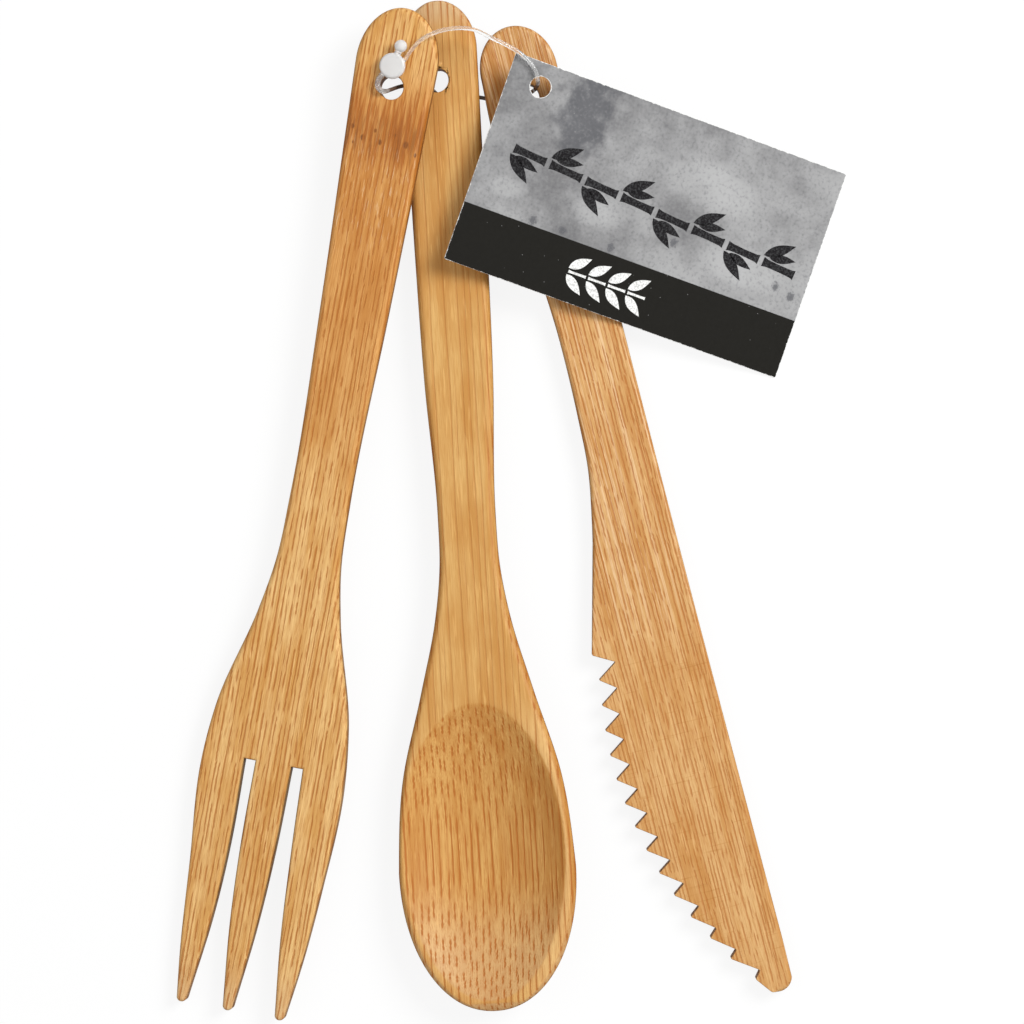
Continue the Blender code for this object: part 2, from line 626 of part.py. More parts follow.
def make_scene():
    """Builds the five pieces and lays them down on the table."""
    for old in list(bpy.data.objects):
        bpy.data.objects.remove(old)
    spoon, spoon_forms = make_spoon()
    fork, knife, tag = make_fork(), make_knife(), make_tag()
    bpy.context.view_layer.update()
    over_filament = FILAMENT + CLEARANCE
    spoon_solid = lay_down(spoon, (0, 0), SPOON_HEADING, SPOON_ROLL, over_filament)
    for form in spoon_forms:
        form.matrix_world = spoon.matrix_world
    crossing = [(-x, 0, HANDLE_THICKNESS + CLEARANCE + FILAMENT) for x in (0.003, 0.0055)]
    filament_top = moved(np.array(crossing), spoon.matrix_world)
    fork_rests_on = [spoon_solid, (filament_top, [])]
    fork_solid = lay_down(fork, FORK_HOLE, FORK_HEADING, FORK_ROLL, CLEARANCE, fork_rests_on)
    knife_solid = lay_down(knife, KNIFE_HOLE, KNIFE_HEADING, 0.0, over_filament)
    tag_solid = lay_down(tag, TAG_HOLE, TAG_HEADING, 0.0, TAG_ROOM, [spoon_solid, knife_solid])
    loop, loop_forms = make_loop({obj.name: obj for obj in (fork, spoon, knife, tag)})
    solids = np.concatenate([s[0] for s in (spoon_solid, fork_solid, knife_solid, tag_solid)])
    middle = (solids.min(axis=0) + solids.max(axis=0)) / 2
    pack = bpy.data.objects.new("pack", None)
    bpy.context.collection.objects.link(pack)
    for obj in (spoon, fork, knife, tag, loop, *spoon_forms, *loop_forms):
        obj.parent = pack
    pack.location = (-middle[0], -middle[1], 0)


make_scene()
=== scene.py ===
"""A fork, a spoon and a knife of bamboo and a card tag on one nylon snap loop, as they lie on a white table.

Lengths are metres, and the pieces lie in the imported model's own frame. Each strung piece is drawn with its
hole at the origin, its handle end towards +Y and its underside at Z = 0, and is then laid down.
"""
import json
import math

import bmesh
import bpy
import numpy as np
from mathutils import Euler, Matrix, Vector


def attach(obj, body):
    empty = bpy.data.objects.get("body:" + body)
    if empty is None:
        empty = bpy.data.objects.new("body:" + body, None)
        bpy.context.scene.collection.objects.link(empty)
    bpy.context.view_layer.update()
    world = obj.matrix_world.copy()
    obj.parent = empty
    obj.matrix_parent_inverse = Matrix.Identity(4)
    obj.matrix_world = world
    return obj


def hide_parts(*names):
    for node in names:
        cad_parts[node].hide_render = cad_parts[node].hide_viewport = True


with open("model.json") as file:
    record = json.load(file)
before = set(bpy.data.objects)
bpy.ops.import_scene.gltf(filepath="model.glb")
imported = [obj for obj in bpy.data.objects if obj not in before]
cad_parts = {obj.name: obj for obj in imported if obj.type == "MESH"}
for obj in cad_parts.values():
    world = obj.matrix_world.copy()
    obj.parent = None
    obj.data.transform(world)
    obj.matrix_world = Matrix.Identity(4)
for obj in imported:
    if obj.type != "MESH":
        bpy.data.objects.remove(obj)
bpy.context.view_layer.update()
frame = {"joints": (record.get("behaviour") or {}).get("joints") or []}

# The camera looks straight down from 0.8 m, as the photograph does. The picture is 1024 pixels across, and
# on the table a pixel is 0.1995 mm.
CAMERA_HEIGHT = 0.8
PICTURE_PIXELS = 1024
PIXEL = 0.0001995
PICTURE_MIDDLE = (0.0000215, -0.0003394)
SENSOR = 36.0

scene = bpy.context.scene
camera = bpy.data.objects.new("camera", bpy.data.cameras.new("camera"))
camera.data.sensor_width = SENSOR
camera.data.lens = SENSOR * CAMERA_HEIGHT / (PICTURE_PIXELS * PIXEL)
camera.data.clip_start = 0.01
camera.location = (*PICTURE_MIDDLE, CAMERA_HEIGHT)
scene.collection.objects.link(camera)
scene.camera = camera


# The studio: a white table, a white room all round and three large soft lamps, the strongest at the upper
# right. The table and the room show as plain white, and the table still takes the pack's shadow.
TABLE_SIZE = 3.0
TABLE_SHADOW = 0.12
TABLE_LIT = (0.9, 0.9, 0.9, 1.0)
TABLE_BOUNCE = (0.45, 0.45, 0.45, 1.0)
WHITE_LIGHT = (1.0, 1.0, 1.0, 1.0)
ROOM_LIGHT = 0.35
LAMPS = (
    ("key_lamp", (0.62, 0.42, 0.80), 0.5, 11.5),
    ("fill_lamp", (-0.60, 0.10, 0.90), 0.9, 2.2),
    ("low_lamp", (0.10, -0.85, 0.70), 0.9, 1.6),
)


def seen_directly(tree):
    """1 where the camera, a reflection or a clear material looks straight at a surface, else 0."""
    path = tree.nodes.new("ShaderNodeLightPath")
    seen = path.outputs["Is Camera Ray"]
    for ray in ("Is Glossy Ray", "Is Transmission Ray"):
        either = tree.nodes.new("ShaderNodeMath")
        either.operation = "MAXIMUM"
        tree.links.new(seen, either.inputs[0])
        tree.links.new(path.outputs[ray], either.inputs[1])
        seen = either.outputs[0]
    return seen


def show_either(tree, factor, first, second, output):
    """Shows the first shader where the factor is 0 and the second where it is 1."""
    either = tree.nodes.new("ShaderNodeMixShader")
    for source, socket in zip((factor, first.outputs[0], second.outputs[0]), either.inputs):
        tree.links.new(source, socket)
    tree.links.new(either.outputs[0], tree.nodes[output].inputs["Surface"])


scene.view_settings.view_transform = "Standard"
room = bpy.data.worlds.new("white_room")
room.use_nodes = True
scene.world = room
air = room.node_tree
backdrop = air.nodes["Background"]
backdrop.inputs["Strength"].default_value = ROOM_LIGHT
plain_white = air.nodes.new("ShaderNodeBackground")
for light in (backdrop, plain_white):
    light.inputs["Color"].default_value = WHITE_LIGHT
show_either(air, seen_directly(air), backdrop, plain_white, "World Output")

for name, place, size, power in LAMPS:
    lamp = bpy.data.objects.new(name, bpy.data.lights.new(name, "AREA"))
    lamp.data.size = size
    lamp.data.energy = power
    lamp.location = place
    lamp.rotation_euler = (-Vector(place)).to_track_quat("-Z", "Y").to_euler()
    scene.collection.objects.link(lamp)

table_mesh = bpy.data.meshes.new("table_top")
half = TABLE_SIZE / 2
corners = [(-half, -half, 0), (half, -half, 0), (half, half, 0), (-half, half, 0)]
table_mesh.from_pydata(corners, [], [(0, 1, 2, 3)])
table = bpy.data.objects.new("table_top", table_mesh)
scene.collection.objects.link(table)
paint = bpy.data.materials.new("table_white")
paint.use_nodes = True
coat = paint.node_tree
matt = coat.nodes["Principled BSDF"]
matt.inputs["Roughness"].default_value = 0.9
matt.inputs["Specular IOR Level"].default_value = 0.0
tint = coat.nodes.new("ShaderNodeMix")
tint.data_type = "RGBA"
tint.inputs[6].default_value = TABLE_BOUNCE
tint.inputs[7].default_value = TABLE_LIT
coat.links.new(seen_directly(coat), tint.inputs["Factor"])
coat.links.new(tint.outputs[2], matt.inputs["Base Color"])
share = coat.nodes.new("ShaderNodeMath")
share.operation = "MULTIPLY"
share.inputs[1].default_value = 1 - TABLE_SHADOW
coat.links.new(seen_directly(coat), share.inputs[0])
show_either(coat, share.outputs[0], matt, coat.nodes.new("ShaderNodeEmission"), "Material Output")
table_mesh.materials.append(paint)


# The spoon is one thick strip of bamboo. Its outline is sawn and its underside and ends are sanded round,
# the dish is milled with a round cutter that leaves a crisp arch at the handle, and the hole is drilled.
SPOON_LENGTH = 0.2003
SPOON_HOLE_INSET = 0.0159
SPOON_HOLE_OFFSET = -0.0008
SPOON_END_ROUND = 0.0095
SPOON_END_WIDTH = 0.0149
SPOON_NECK_WIDTH = 0.0115
BOWL_WIDTH = 0.0352
BOWL_TIP_ROUND = 0.0280
HANDLE_THICKNESS = 0.0050
BOWL_THICKNESS = 0.0088
TOP_EDGE = 0.0015
END_EDGE = 0.0030
BOWL_TIP_RISE = 0.0140
DISH_LENGTH = 0.0585
DISH_WIDTH = 0.0324
DISH_DEPTH = 0.0050
DISH_HOLLOW = 0.0250
DISH_OFFSET = -0.0005
DISH_TIP_RIM = 0.0022
DISH_ARRIS = 0.0004
HOLE_DIAMETER = 0.0048
HOLE_EDGE = 0.0003
SPOON_PLACE = (-0.014539, 0.085103, 0.0011)
SPOON_TURN = (-1.18612, -4.99893, 3.47337)
SHARP_FOLD = 50


def smooth(points, at):
    """Reads a smooth curve through (distance, value) points at the given distances."""
    x, y = np.array(points, float).T
    slope = np.gradient(y, x)
    i = np.clip(np.searchsorted(x, at) - 1, 0, len(x) - 2)
    step = x[i + 1] - x[i]
    t = (at - x[i]) / step
    start = (1 + 2 * t) * (1 - t) ** 2 * y[i] + t * (1 - t) ** 2 * step * slope[i]
    end = t * t * (3 - 2 * t) * y[i + 1] - t * t * (1 - t) * step * slope[i + 1]
    return start + end


def spoon_half_width(at):
    """Half the spoon's width at each distance from its handle end."""
    end = SPOON_END_WIDTH / 2
    neck = SPOON_NECK_WIDTH / 2
    bowl = BOWL_WIDTH / 2
    widest = SPOON_LENGTH - BOWL_TIP_ROUND
    side = (
        (SPOON_END_ROUND, end),
        (0.050, end - 0.0002),
        (widest - 0.097, neck + 0.65 * (end - neck)),
        (widest - 0.070, neck),
        (widest - 0.060, neck + 0.02 * (bowl - neck)),
        (widest - 0.050, neck + 0.14 * (bowl - neck)),
        (widest - 0.035, neck + 0.46 * (bowl - neck)),
        (widest - 0.018, neck + 0.85 * (bowl - neck)),
        (widest, bowl),
        (SPOON_LENGTH, bowl),
    )
    width = smooth(side, at)
    end_turn = np.clip((SPOON_END_ROUND - at) / SPOON_END_ROUND, 0, 1)
    tip_turn = np.clip((at - widest) / BOWL_TIP_ROUND, 0, 1)
    width = np.where(end_turn > 0, end * np.sqrt(1 - end_turn ** 2), width)
    return np.where(tip_turn > 0, bowl * (1 - tip_turn ** 2.1) ** (1 / 2.1), width)


def milled(x, y, z):
    """The height of the spoon's top once the dish is milled into it, with its arris worn a little."""
    rise = DISH_HOLLOW - DISH_DEPTH
    reach = math.sqrt(1 - (rise / DISH_HOLLOW) ** 2)
    middle = SPOON_HOLE_INSET - SPOON_LENGTH + DISH_TIP_RIM + DISH_LENGTH / 2
    across = (x - DISH_OFFSET + SPOON_HOLE_OFFSET) / (DISH_WIDTH / 2 / reach)
    along = (y - middle) / (DISH_LENGTH / 2 / reach)
    ball = np.sqrt(np.maximum(1 - across ** 2 - along ** 2, 0.0))
    floor = HANDLE_THICKNESS + rise - DISH_HOLLOW * ball
    blend = np.clip(0.5 + 0.5 * (floor - z) / DISH_ARRIS, 0, 1)
    return floor * (1 - blend) + z * blend - DISH_ARRIS * blend * (1 - blend)


def wrap(bm, rings):
    """Joins each ring of points to the next by a band of faces."""
    for lower, upper in zip(rings, rings[1:]):
        for i in range(len(lower)):
            bm.faces.new((lower[i - 1], lower[i], upper[i], upper[i - 1]))


def spoon_blank():
    """The spoon's solid, one cross-section after another from its handle end to its tip."""
    widest = SPOON_LENGTH - BOWL_TIP_ROUND
    bend = np.radians(np.linspace(0, 90, 26))
    at = np.concatenate((
        SPOON_END_ROUND * (1 - np.cos(bend))[1:],
        np.linspace(SPOON_END_ROUND, widest - 0.070, 70)[1:],
        np.linspace(widest - 0.070, widest, 130)[1:],
        widest + BOWL_TIP_ROUND * np.sin(np.radians(np.linspace(0, 90, 64)))[1:-1],
    ))
    width = spoon_half_width(at)
    swell = np.clip((at - (widest - 0.072)) / 0.050, 0, 1)
    swell = swell * swell * (3 - 2 * swell)
    near_end = np.clip((END_EDGE - at) / END_EDGE, 0, 1)
    near_tip = np.clip((at - (SPOON_LENGTH - BOWL_TIP_RISE)) / BOWL_TIP_RISE, 0, 1)
    ends = np.sqrt(1 - near_end ** 2) * np.sqrt(1 - near_tip ** 2)
    depth = HANDLE_THICKNESS - TOP_EDGE + (BOWL_THICKNESS - HANDLE_THICKNESS) * swell
    edge = np.minimum(TOP_EDGE, 0.5 * width)
    bm = bmesh.new()
    sections = []
    under = np.radians(np.linspace(180, 360, 33))
    over = np.radians(np.linspace(0, 90, 8))[1:]
    for s, half, below, top, swollen, full in zip(at, width, depth * ends, edge, swell, ends):
        power = 2 / (3.2 - swollen)
        x = half * np.sign(np.cos(under)) * np.abs(np.cos(under)) ** power
        z = HANDLE_THICKNESS - TOP_EDGE - below * np.abs(np.sin(under)) ** power
        rise = TOP_EDGE * min(1.0, 2 * full)
        right = half - top * (1 - np.cos(over))
        flat = np.linspace(right[-1], -right[-1], 58)[1:-1]
        upper_x = np.concatenate((right, flat, -right[::-1])) - SPOON_HOLE_OFFSET
        lift = HANDLE_THICKNESS - TOP_EDGE + rise * np.sin(over)
        upper_z = np.concatenate((lift, np.full(len(flat), lift[-1]), lift[::-1]))
        upper_z = milled(upper_x, SPOON_HOLE_INSET - s, upper_z)
        points = zip(np.concatenate((x - SPOON_HOLE_OFFSET, upper_x)), np.concatenate((z, upper_z)))
        sections.append([bm.verts.new((a, SPOON_HOLE_INSET - s, b)) for a, b in points])
    wrap(bm, sections)
    for section, y in ((sections[0], SPOON_HOLE_INSET), (sections[-1], SPOON_HOLE_INSET - SPOON_LENGTH)):
        pole = bm.verts.new((-SPOON_HOLE_OFFSET, y, HANDLE_THICKNESS - TOP_EDGE))
        for i in range(len(section)):
            bm.faces.new((section[i - 1], section[i], pole))
    return bm


def add_piece(name, bm):
    """Turns a finished bmesh into a scene object with smooth round faces and crisp folds."""
    bmesh.ops.recalc_face_normals(bm, faces=bm.faces)
    mesh = bpy.data.meshes.new(name)
    bm.to_mesh(mesh)
    bm.free()
    mesh.shade_smooth()
    mesh.set_sharp_from_angle(angle=math.radians(SHARP_FOLD))
    piece = bpy.data.objects.new(name, mesh)
    scene.collection.objects.link(piece)
    return piece


def worked(piece, tools):
    """Carries out a piece's waiting modifiers on its own mesh, and puts the tools away."""
    ready = piece.evaluated_get(bpy.context.evaluated_depsgraph_get())
    mesh = bpy.data.meshes.new_from_object(ready)
    piece.modifiers.clear()
    piece.data = mesh
    for tool in tools:
        bpy.data.objects.remove(tool)
    return piece


def drilled(piece, edge):
    """Drills the hanging hole and takes the sharp edge off its rims."""
    drill = bmesh.new()
    radius = HOLE_DIAMETER / 2
    bmesh.ops.create_cone(drill, cap_ends=True, segments=64, radius1=radius, radius2=radius, depth=0.03)
    drill = add_piece("drill", drill)
    bore = piece.modifiers.new("bore", "BOOLEAN")
    bore.object = drill
    bore.operation = "DIFFERENCE"
    bore.solver = "EXACT"
    rim = piece.modifiers.new("rim", "BEVEL")
    rim.width = edge
    rim.segments = 3
    rim.limit_method = "ANGLE"
    rim.angle_limit = math.radians(60)
    rim.use_clamp_overlap = False
    return worked(piece, [drill])


def put_down(piece, place, turn, body, node):
    """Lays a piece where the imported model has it, and lets it move with its body."""
    laid = Matrix.LocRotScale(Vector(place), Euler([math.radians(a) for a in turn]), None)
    piece.data.transform(laid)
    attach(piece, body)
    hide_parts(node)
    return laid


class Finish:
    """One material, whose pattern is written as sums of places in millimetres in the piece's own frame."""

    def __init__(self, name, place, turn):
        self.material = bpy.data.materials.new(name)
        self.material.use_nodes = True
        self.nodes = self.material.node_tree.nodes
        self.links = self.material.node_tree.links
        self.shader = self.nodes["Principled BSDF"]
        self.spot = self.nodes.new("ShaderNodeTexCoord")
        own = self.nodes.new("ShaderNodeMapping")
        own.vector_type = "TEXTURE"
        own.inputs["Location"].default_value = place
        own.inputs["Rotation"].default_value = [math.radians(a) for a in turn]
        own.inputs["Scale"].default_value = (0.001, 0.001, 0.001)
        self.links.new(self.spot.outputs["Object"], own.inputs["Vector"])
        self.x, self.y, self.z = self.parts(own.outputs[0])

    def feed(self, socket, value):
        """Sets a socket to a number or a colour, or joins another node's output to it."""
        if isinstance(value, bpy.types.NodeSocket):
            self.links.new(value, socket)
        elif isinstance(value, tuple) and len(value) == 3 and socket.type == "RGBA":
            socket.default_value = (*value, 1.0)
        else:
            socket.default_value = value

    def parts(self, place):
        """The three numbers of a place or a direction."""
        node = self.nodes.new("ShaderNodeSeparateXYZ")
        self.links.new(place, node.inputs[0])
        return node.outputs

    def look(self, key, value):
        """Gives the surface one of its values."""
        self.feed(self.shader.inputs[key], value)

    def sum(self, operation, *values):
        """One step of arithmetic."""
        node = self.nodes.new("ShaderNodeMath")
        node.operation = operation
        for socket, value in zip(node.inputs, values):
            self.feed(socket, value)
        return node.outputs[0]

    def times(self, first, *more):
        """The product of two or more numbers."""
        for value in more:
            first = self.sum("MULTIPLY", first, value)
        return first

    def plus(self, first, second):
        return self.sum("ADD", first, second)

    def minus(self, first, second):
        return self.sum("SUBTRACT", first, second)

    def over(self, first, second):
        return self.sum("DIVIDE", first, second)

    def size(self, value):
        """A number without its sign."""
        return self.sum("ABSOLUTE", value)

    def least(self, first, second):
        return self.sum("MINIMUM", first, second)

    def far(self, u, v):
        """How far a place (u, v) is from the middle."""
        return self.sum("SQRT", self.plus(self.times(u, u), self.times(v, v)))

    def at(self, x, y, z):
        """A place made from three numbers."""
        node = self.nodes.new("ShaderNodeCombineXYZ")
        for socket, value in zip(node.inputs, (x, y, z)):
            self.feed(socket, value)
        return node.outputs[0]

    def clouds(self, across, along, seed, detail=2.0):
        """Soft noise from 0 to 1, with grains of one size across the piece and another along it."""
        x, y, z = [self.over(p, s) for p, s in zip((self.x, self.y, self.z), (across, along, across))]
        node = self.nodes.new("ShaderNodeTexNoise")
        node.inputs["Scale"].default_value = 1.0
        node.inputs["Detail"].default_value = detail
        self.feed(node.inputs["Vector"], self.at(self.plus(x, seed), y, z))
        return node.outputs["Fac"]

    def nearest(self, u, v, randomness):
        """How far a place (u, v) is from the nearest of many scattered points, along u and along v."""
        node = self.nodes.new("ShaderNodeTexVoronoi")
        node.voronoi_dimensions = "2D"
        node.inputs["Scale"].default_value = 1.0
        node.inputs["Randomness"].default_value = randomness
        self.feed(node.inputs["Vector"], self.at(u, v, 0.0))
        point = self.parts(node.outputs["Position"])
        return self.minus(u, point[0]), self.minus(v, point[1])

    def between(self, value, start, stop, low=0.0, high=1.0):
        """Goes smoothly from low to high as a value goes from start to stop."""
        node = self.nodes.new("ShaderNodeMapRange")
        node.interpolation_type = "SMOOTHSTEP"
        keys = ("Value", "From Min", "From Max", "To Min", "To Max")
        for key, number in zip(keys, (value, start, stop, low, high)):
            self.feed(node.inputs[key], number)
        return node.outputs["Result"]

    def mix(self, factor, first, second, blend="MIX"):
        """One colour over another."""
        node = self.nodes.new("ShaderNodeMix")
        node.data_type = "RGBA"
        node.blend_type = blend
        self.feed(node.inputs["Factor"], factor)
        self.feed(node.inputs[6], first)
        self.feed(node.inputs[7], second)
        return node.outputs[2]

    def tinted(self, factor, color, tint):
        """A colour seen through another."""
        return self.mix(factor, color, tint, "MULTIPLY")

    def raised(self, height, depth):
        """Lets a pattern stand up from the surface by a depth in metres."""
        node = self.nodes.new("ShaderNodeBump")
        node.inputs["Distance"].default_value = depth
        node.inputs["Strength"].default_value = 1.0
        self.feed(node.inputs["Height"], height)
        self.links.new(node.outputs["Normal"], self.shader.inputs["Normal"])


# Bamboo: its fibre bundles by width, height and distance of rows in millimetres, and how dark they show.
FIBRE = (0.40, 0.125, 0.016)
# The colour of upright walls, how upright a face must be to take it, and its share: partly the cut wood's own
# colour, partly painted shade.
CUT_WALL_AND_SHADE = (0.17, 0.062, 0.014)
WALL_SHADE_REACH = 0.42
BUNDLE_HALF_WIDTH = 0.20
BUNDLE_HALF_HEIGHT = 0.25
BUNDLE_ROWS = 0.80
CORE_SHARE = 0.60
HALO_SHARE = 0.30
THIN_FIBRE_SHARE = 0.34
WALL_SHADE_SHARE = 0.75
FLAT_SHINE = 0.24
SHINE_LOST = 0.22
FIBRE_DEPTH = 0.00004


def bundles(wood, seed, spacing, wander, run):
    """The dark fibre bundles: 1 in a bundle's core, and how near one is. A bundle is narrow at its waist."""
    drift = wood.minus(wood.clouds(1.6, run, seed), 0.5)
    side = wood.minus(wood.clouds(5.0, 35.0, seed + 3.0), 0.5)
    u = wood.plus(wood.over(wood.plus(wood.x, side), spacing), seed)
    raised = wood.over(wood.plus(wood.z, wood.times(drift, wander)), BUNDLE_ROWS)
    v = wood.plus(raised, wood.times(u, 0.5))
    du, dv = wood.nearest(u, v, 0.42)
    tall = wood.over(wood.size(dv), BUNDLE_HALF_HEIGHT / BUNDLE_ROWS)
    waist = wood.between(tall, 0.0, 0.45, 0.50, 1.0)
    wide = wood.over(wood.size(du), BUNDLE_HALF_WIDTH / spacing)
    wide = wood.over(wide, waist)
    apart = wood.far(wide, tall)
    return wood.between(apart, 1.12, 0.78), wood.between(apart, 2.1, 0.7)


def bamboo(name, place, turn, tissue, marks, seed, spacing, wander, run, strength):
    """Sanded bamboo. Dark fibre bundles run along Y through tissue of a pale and a warm colour, so a face
    along them shows long streaks and a face across them shows flecks. Bundles lie a spacing apart and wander
    up and down within a run, and the marks function adds what one piece has of its own. Upright walls are
    coloured darker: partly the cut wood's own colour, partly painted shade.
    """
    wood = Finish(name, place, turn)
    pale_tissue, warm_tissue = tissue
    core, halo = bundles(wood, seed, spacing, wander, run)
    thin_drift = wood.times(wood.clouds(0.5, 6.0, seed + 7.0), 5.0)
    thin_row = wood.plus(thin_drift, wood.times(wood.z, 2.5))
    thin_u, thin_v = wood.nearest(wood.over(wood.x, 0.40), thin_row, 0.9)
    thin = wood.plus(wood.size(thin_u), wood.times(wood.size(thin_v), 0.7))
    thin = wood.between(thin, 0.42, 0.12)
    strips = wood.clouds(1.9, 60.0, seed + 11.0, 1.0)
    cloudy = wood.clouds(6.0, 16.0, seed + 17.0)
    hair = wood.clouds(0.13, 3.5, seed + 23.0)
    pale = wood.between(wood.clouds(0.45, 7.0, seed + 29.0, 1.0), 0.56, 0.74)

    tone = wood.plus(wood.times(strips, 0.5), wood.times(cloudy, 0.5))
    color = wood.mix(wood.between(tone, 0.34, 0.66), pale_tissue, warm_tissue)
    color = wood.mix(wood.between(hair, 0.42, 0.68, 0.0, 0.55), color, warm_tissue)
    color = wood.mix(wood.times(pale, 0.55), color, tuple(1.12 * c for c in pale_tissue))
    color, strength, wall_color_and_shade, reach = marks(wood, color, strength)
    color = wood.mix(wood.times(thin, THIN_FIBRE_SHARE, strength), color, FIBRE)
    color = wood.mix(wood.times(halo, HALO_SHARE, strength), color, FIBRE)
    color = wood.mix(wood.times(core, CORE_SHARE, strength), color, FIBRE)
    # Walls that stand upright are coloured darker: partly the cut wood's own colour, partly painted shade.
    facing = wood.size(wood.parts(wood.spot.outputs["Normal"])[2])
    upright = wood.between(facing, reach, 0.10)
    color = wood.mix(wood.times(upright, WALL_SHADE_SHARE), color, wall_color_and_shade)
    wood.look("Base Color", color)
    wood.look("Roughness", wood.between(core, 0.0, 1.0, 0.46, 0.60))
    turned_away = wood.between(facing, 0.80, 0.35)
    shine = wood.minus(FLAT_SHINE, wood.times(turned_away, SHINE_LOST))
    wood.look("Specular IOR Level", shine)
    wood.raised(wood.minus(wood.times(hair, 0.6), core), FIBRE_DEPTH)
    return wood.material


SPOON_TISSUE = ((0.665, 0.395, 0.134), (0.525, 0.248, 0.058))
DISH_TINT = (0.93, 0.88, 0.79)
DISH_FOOT = (0.64, 0.44, 0.235)
# Painted highlight on the top of the bowl's rim.
RIM_PAINTED_HIGHLIGHT = (0.82, 0.54, 0.235)
PALE_END = (0.60, 0.44, 0.26)


def spoon_marks(wood, color, strength):
    """The spoon's top lies near the cane's skin, where the bundles are faint. Its milled dish shows them
    fully and is a little darker, and its handle end is paler. The bowl's rim is lighter, most on its right
    side: a painted highlight.
    """
    skin = wood.between(wood.z, 4.84, 4.97)
    dish = wood.minus(1.0, skin)
    color = wood.tinted(dish, color, DISH_TINT)
    foot = wood.times(dish, wood.between(wood.y, -158.0, -176.0, 0.0, 0.40))
    color = wood.mix(foot, color, DISH_FOOT)
    # Painted highlight: the top of the bowl's rim made lighter, most on its right side.
    rim = wood.times(skin, wood.between(wood.y, -120.0, -134.0, 0.0, 0.45))
    rim = wood.times(rim, wood.between(wood.x, 6.0, 12.0, 0.15, 1.0))
    color = wood.mix(rim, color, RIM_PAINTED_HIGHLIGHT)
    end = wood.between(wood.y, 8.0, 14.5)
    color = wood.mix(wood.times(end, 0.60), color, PALE_END)
    faint = wood.times(skin, wood.minus(0.72, wood.times(end, 0.50)))
    faint = wood.times(faint, wood.between(wood.y, -122.0, -136.0, 1.0, 0.30))
    return color, wood.times(wood.minus(1.0, faint), strength), CUT_WALL_AND_SHADE, WALL_SHADE_REACH


spoon = drilled(add_piece("bamboo_spoon", spoon_blank()), HOLE_EDGE)
spoon.data.materials.append(bamboo(
    "spoon_bamboo", SPOON_PLACE, SPOON_TURN, SPOON_TISSUE, spoon_marks,
    seed=3.0, spacing=1.30, wander=0.45, run=30.0, strength=1.45))
spoon_laid = put_down(spoon, SPOON_PLACE, SPOON_TURN, "spoon_and_loop", "spoon")


# The fork is one bamboo plank of 4 mm. The outline and the two slots between the tines are sawn, all edges
# are sanded round, and the hanging hole is drilled just above the dark band of a knot of the cane.
PLANK = 0.0040
FORK_LENGTH = 0.2014
FORK_HOLE_INSET = 0.0159
FORK_END_ROUND = 0.011
FORK_END_WIDTH = 0.0163
FORK_NECK_WIDTH = 0.0120
FORK_HEAD_WIDTH = 0.0290
FORK_EDGE = 0.0012
TINE_LENGTH = 0.0499
TINE_TIP_RADIUS = 0.0010
TINE_EDGE = 0.0007
TINE_SPREAD = 0.0100
TINE_LEAN = 0.0007
MIDDLE_TINE_WIDTH = 0.0073
SLOT_WIDTH = 0.0023
FORK_TURN = (1.74596, -5.99724, -10.18247)


def arc(center, radii, start, stop, steps):
    """Points along an elliptical arc, angles in degrees."""
    turn = np.radians(np.linspace(start, stop, steps + 1))
    return np.column_stack((center[0] + radii[0] * np.cos(turn), center[1] + radii[1] * np.sin(turn)))


def circle(diameter, sides=64):
    """A hole's ring, clockwise, so that the material lies on its left."""
    return arc((0, 0), (diameter / 2, diameter / 2), 360, 0, sides)[:-1]


def inset(ring, amount):
    """Moves a closed ring into the material on its left, by an amount for each point."""
    before = ring - np.roll(ring, 1, axis=0)
    before /= np.linalg.norm(before, axis=1)[:, None]
    after = np.roll(before, -1, axis=0)
    middle = before + after
    middle /= np.linalg.norm(middle, axis=1)[:, None]
    inward = np.column_stack((-middle[:, 1], middle[:, 0]))
    stretch = 1 / np.maximum((middle * before).sum(axis=1), 0.6)
    return ring + inward * (stretch * amount)[:, None]


def plank(rings, edges, thickness, steps=5):
    """A flat board from its outline and hole rings, with its upper and lower edges rounded."""
    bm = bmesh.new()
    caps = ([], [])
    turns = np.radians(np.concatenate((np.linspace(90, 0, steps + 1), np.linspace(0, 90, steps + 1))))
    sides = np.repeat((-1, 1), steps + 1)
    for ring, edge in zip(rings, edges):
        levels = []
        for side, turn in zip(sides, turns):
            flat = inset(ring, edge * (1 - math.cos(turn)))
            height = thickness / 2 + side * (thickness / 2 - edge * (1 - math.sin(turn)))
            levels.append([bm.verts.new((x, y, z)) for (x, y), z in zip(flat, height)])
        for end, height in ((0, 0.0), (-1, thickness)):
            flat = inset(ring, edge * 1.12)
            level = [bm.verts.new((x, y, height)) for x, y in flat]
            levels.insert(0 if end == 0 else len(levels), level)
        wrap(bm, levels)
        for cap, level in zip(caps, (levels[0], levels[-1])):
            cap += [bm.edges.get((level[i - 1], level[i])) for i in range(len(level))]
    for cap, up in zip(caps, (-1, 1)):
        bmesh.ops.triangle_fill(bm, use_beauty=True, edges=cap, normal=(0, 0, up))
    return bm


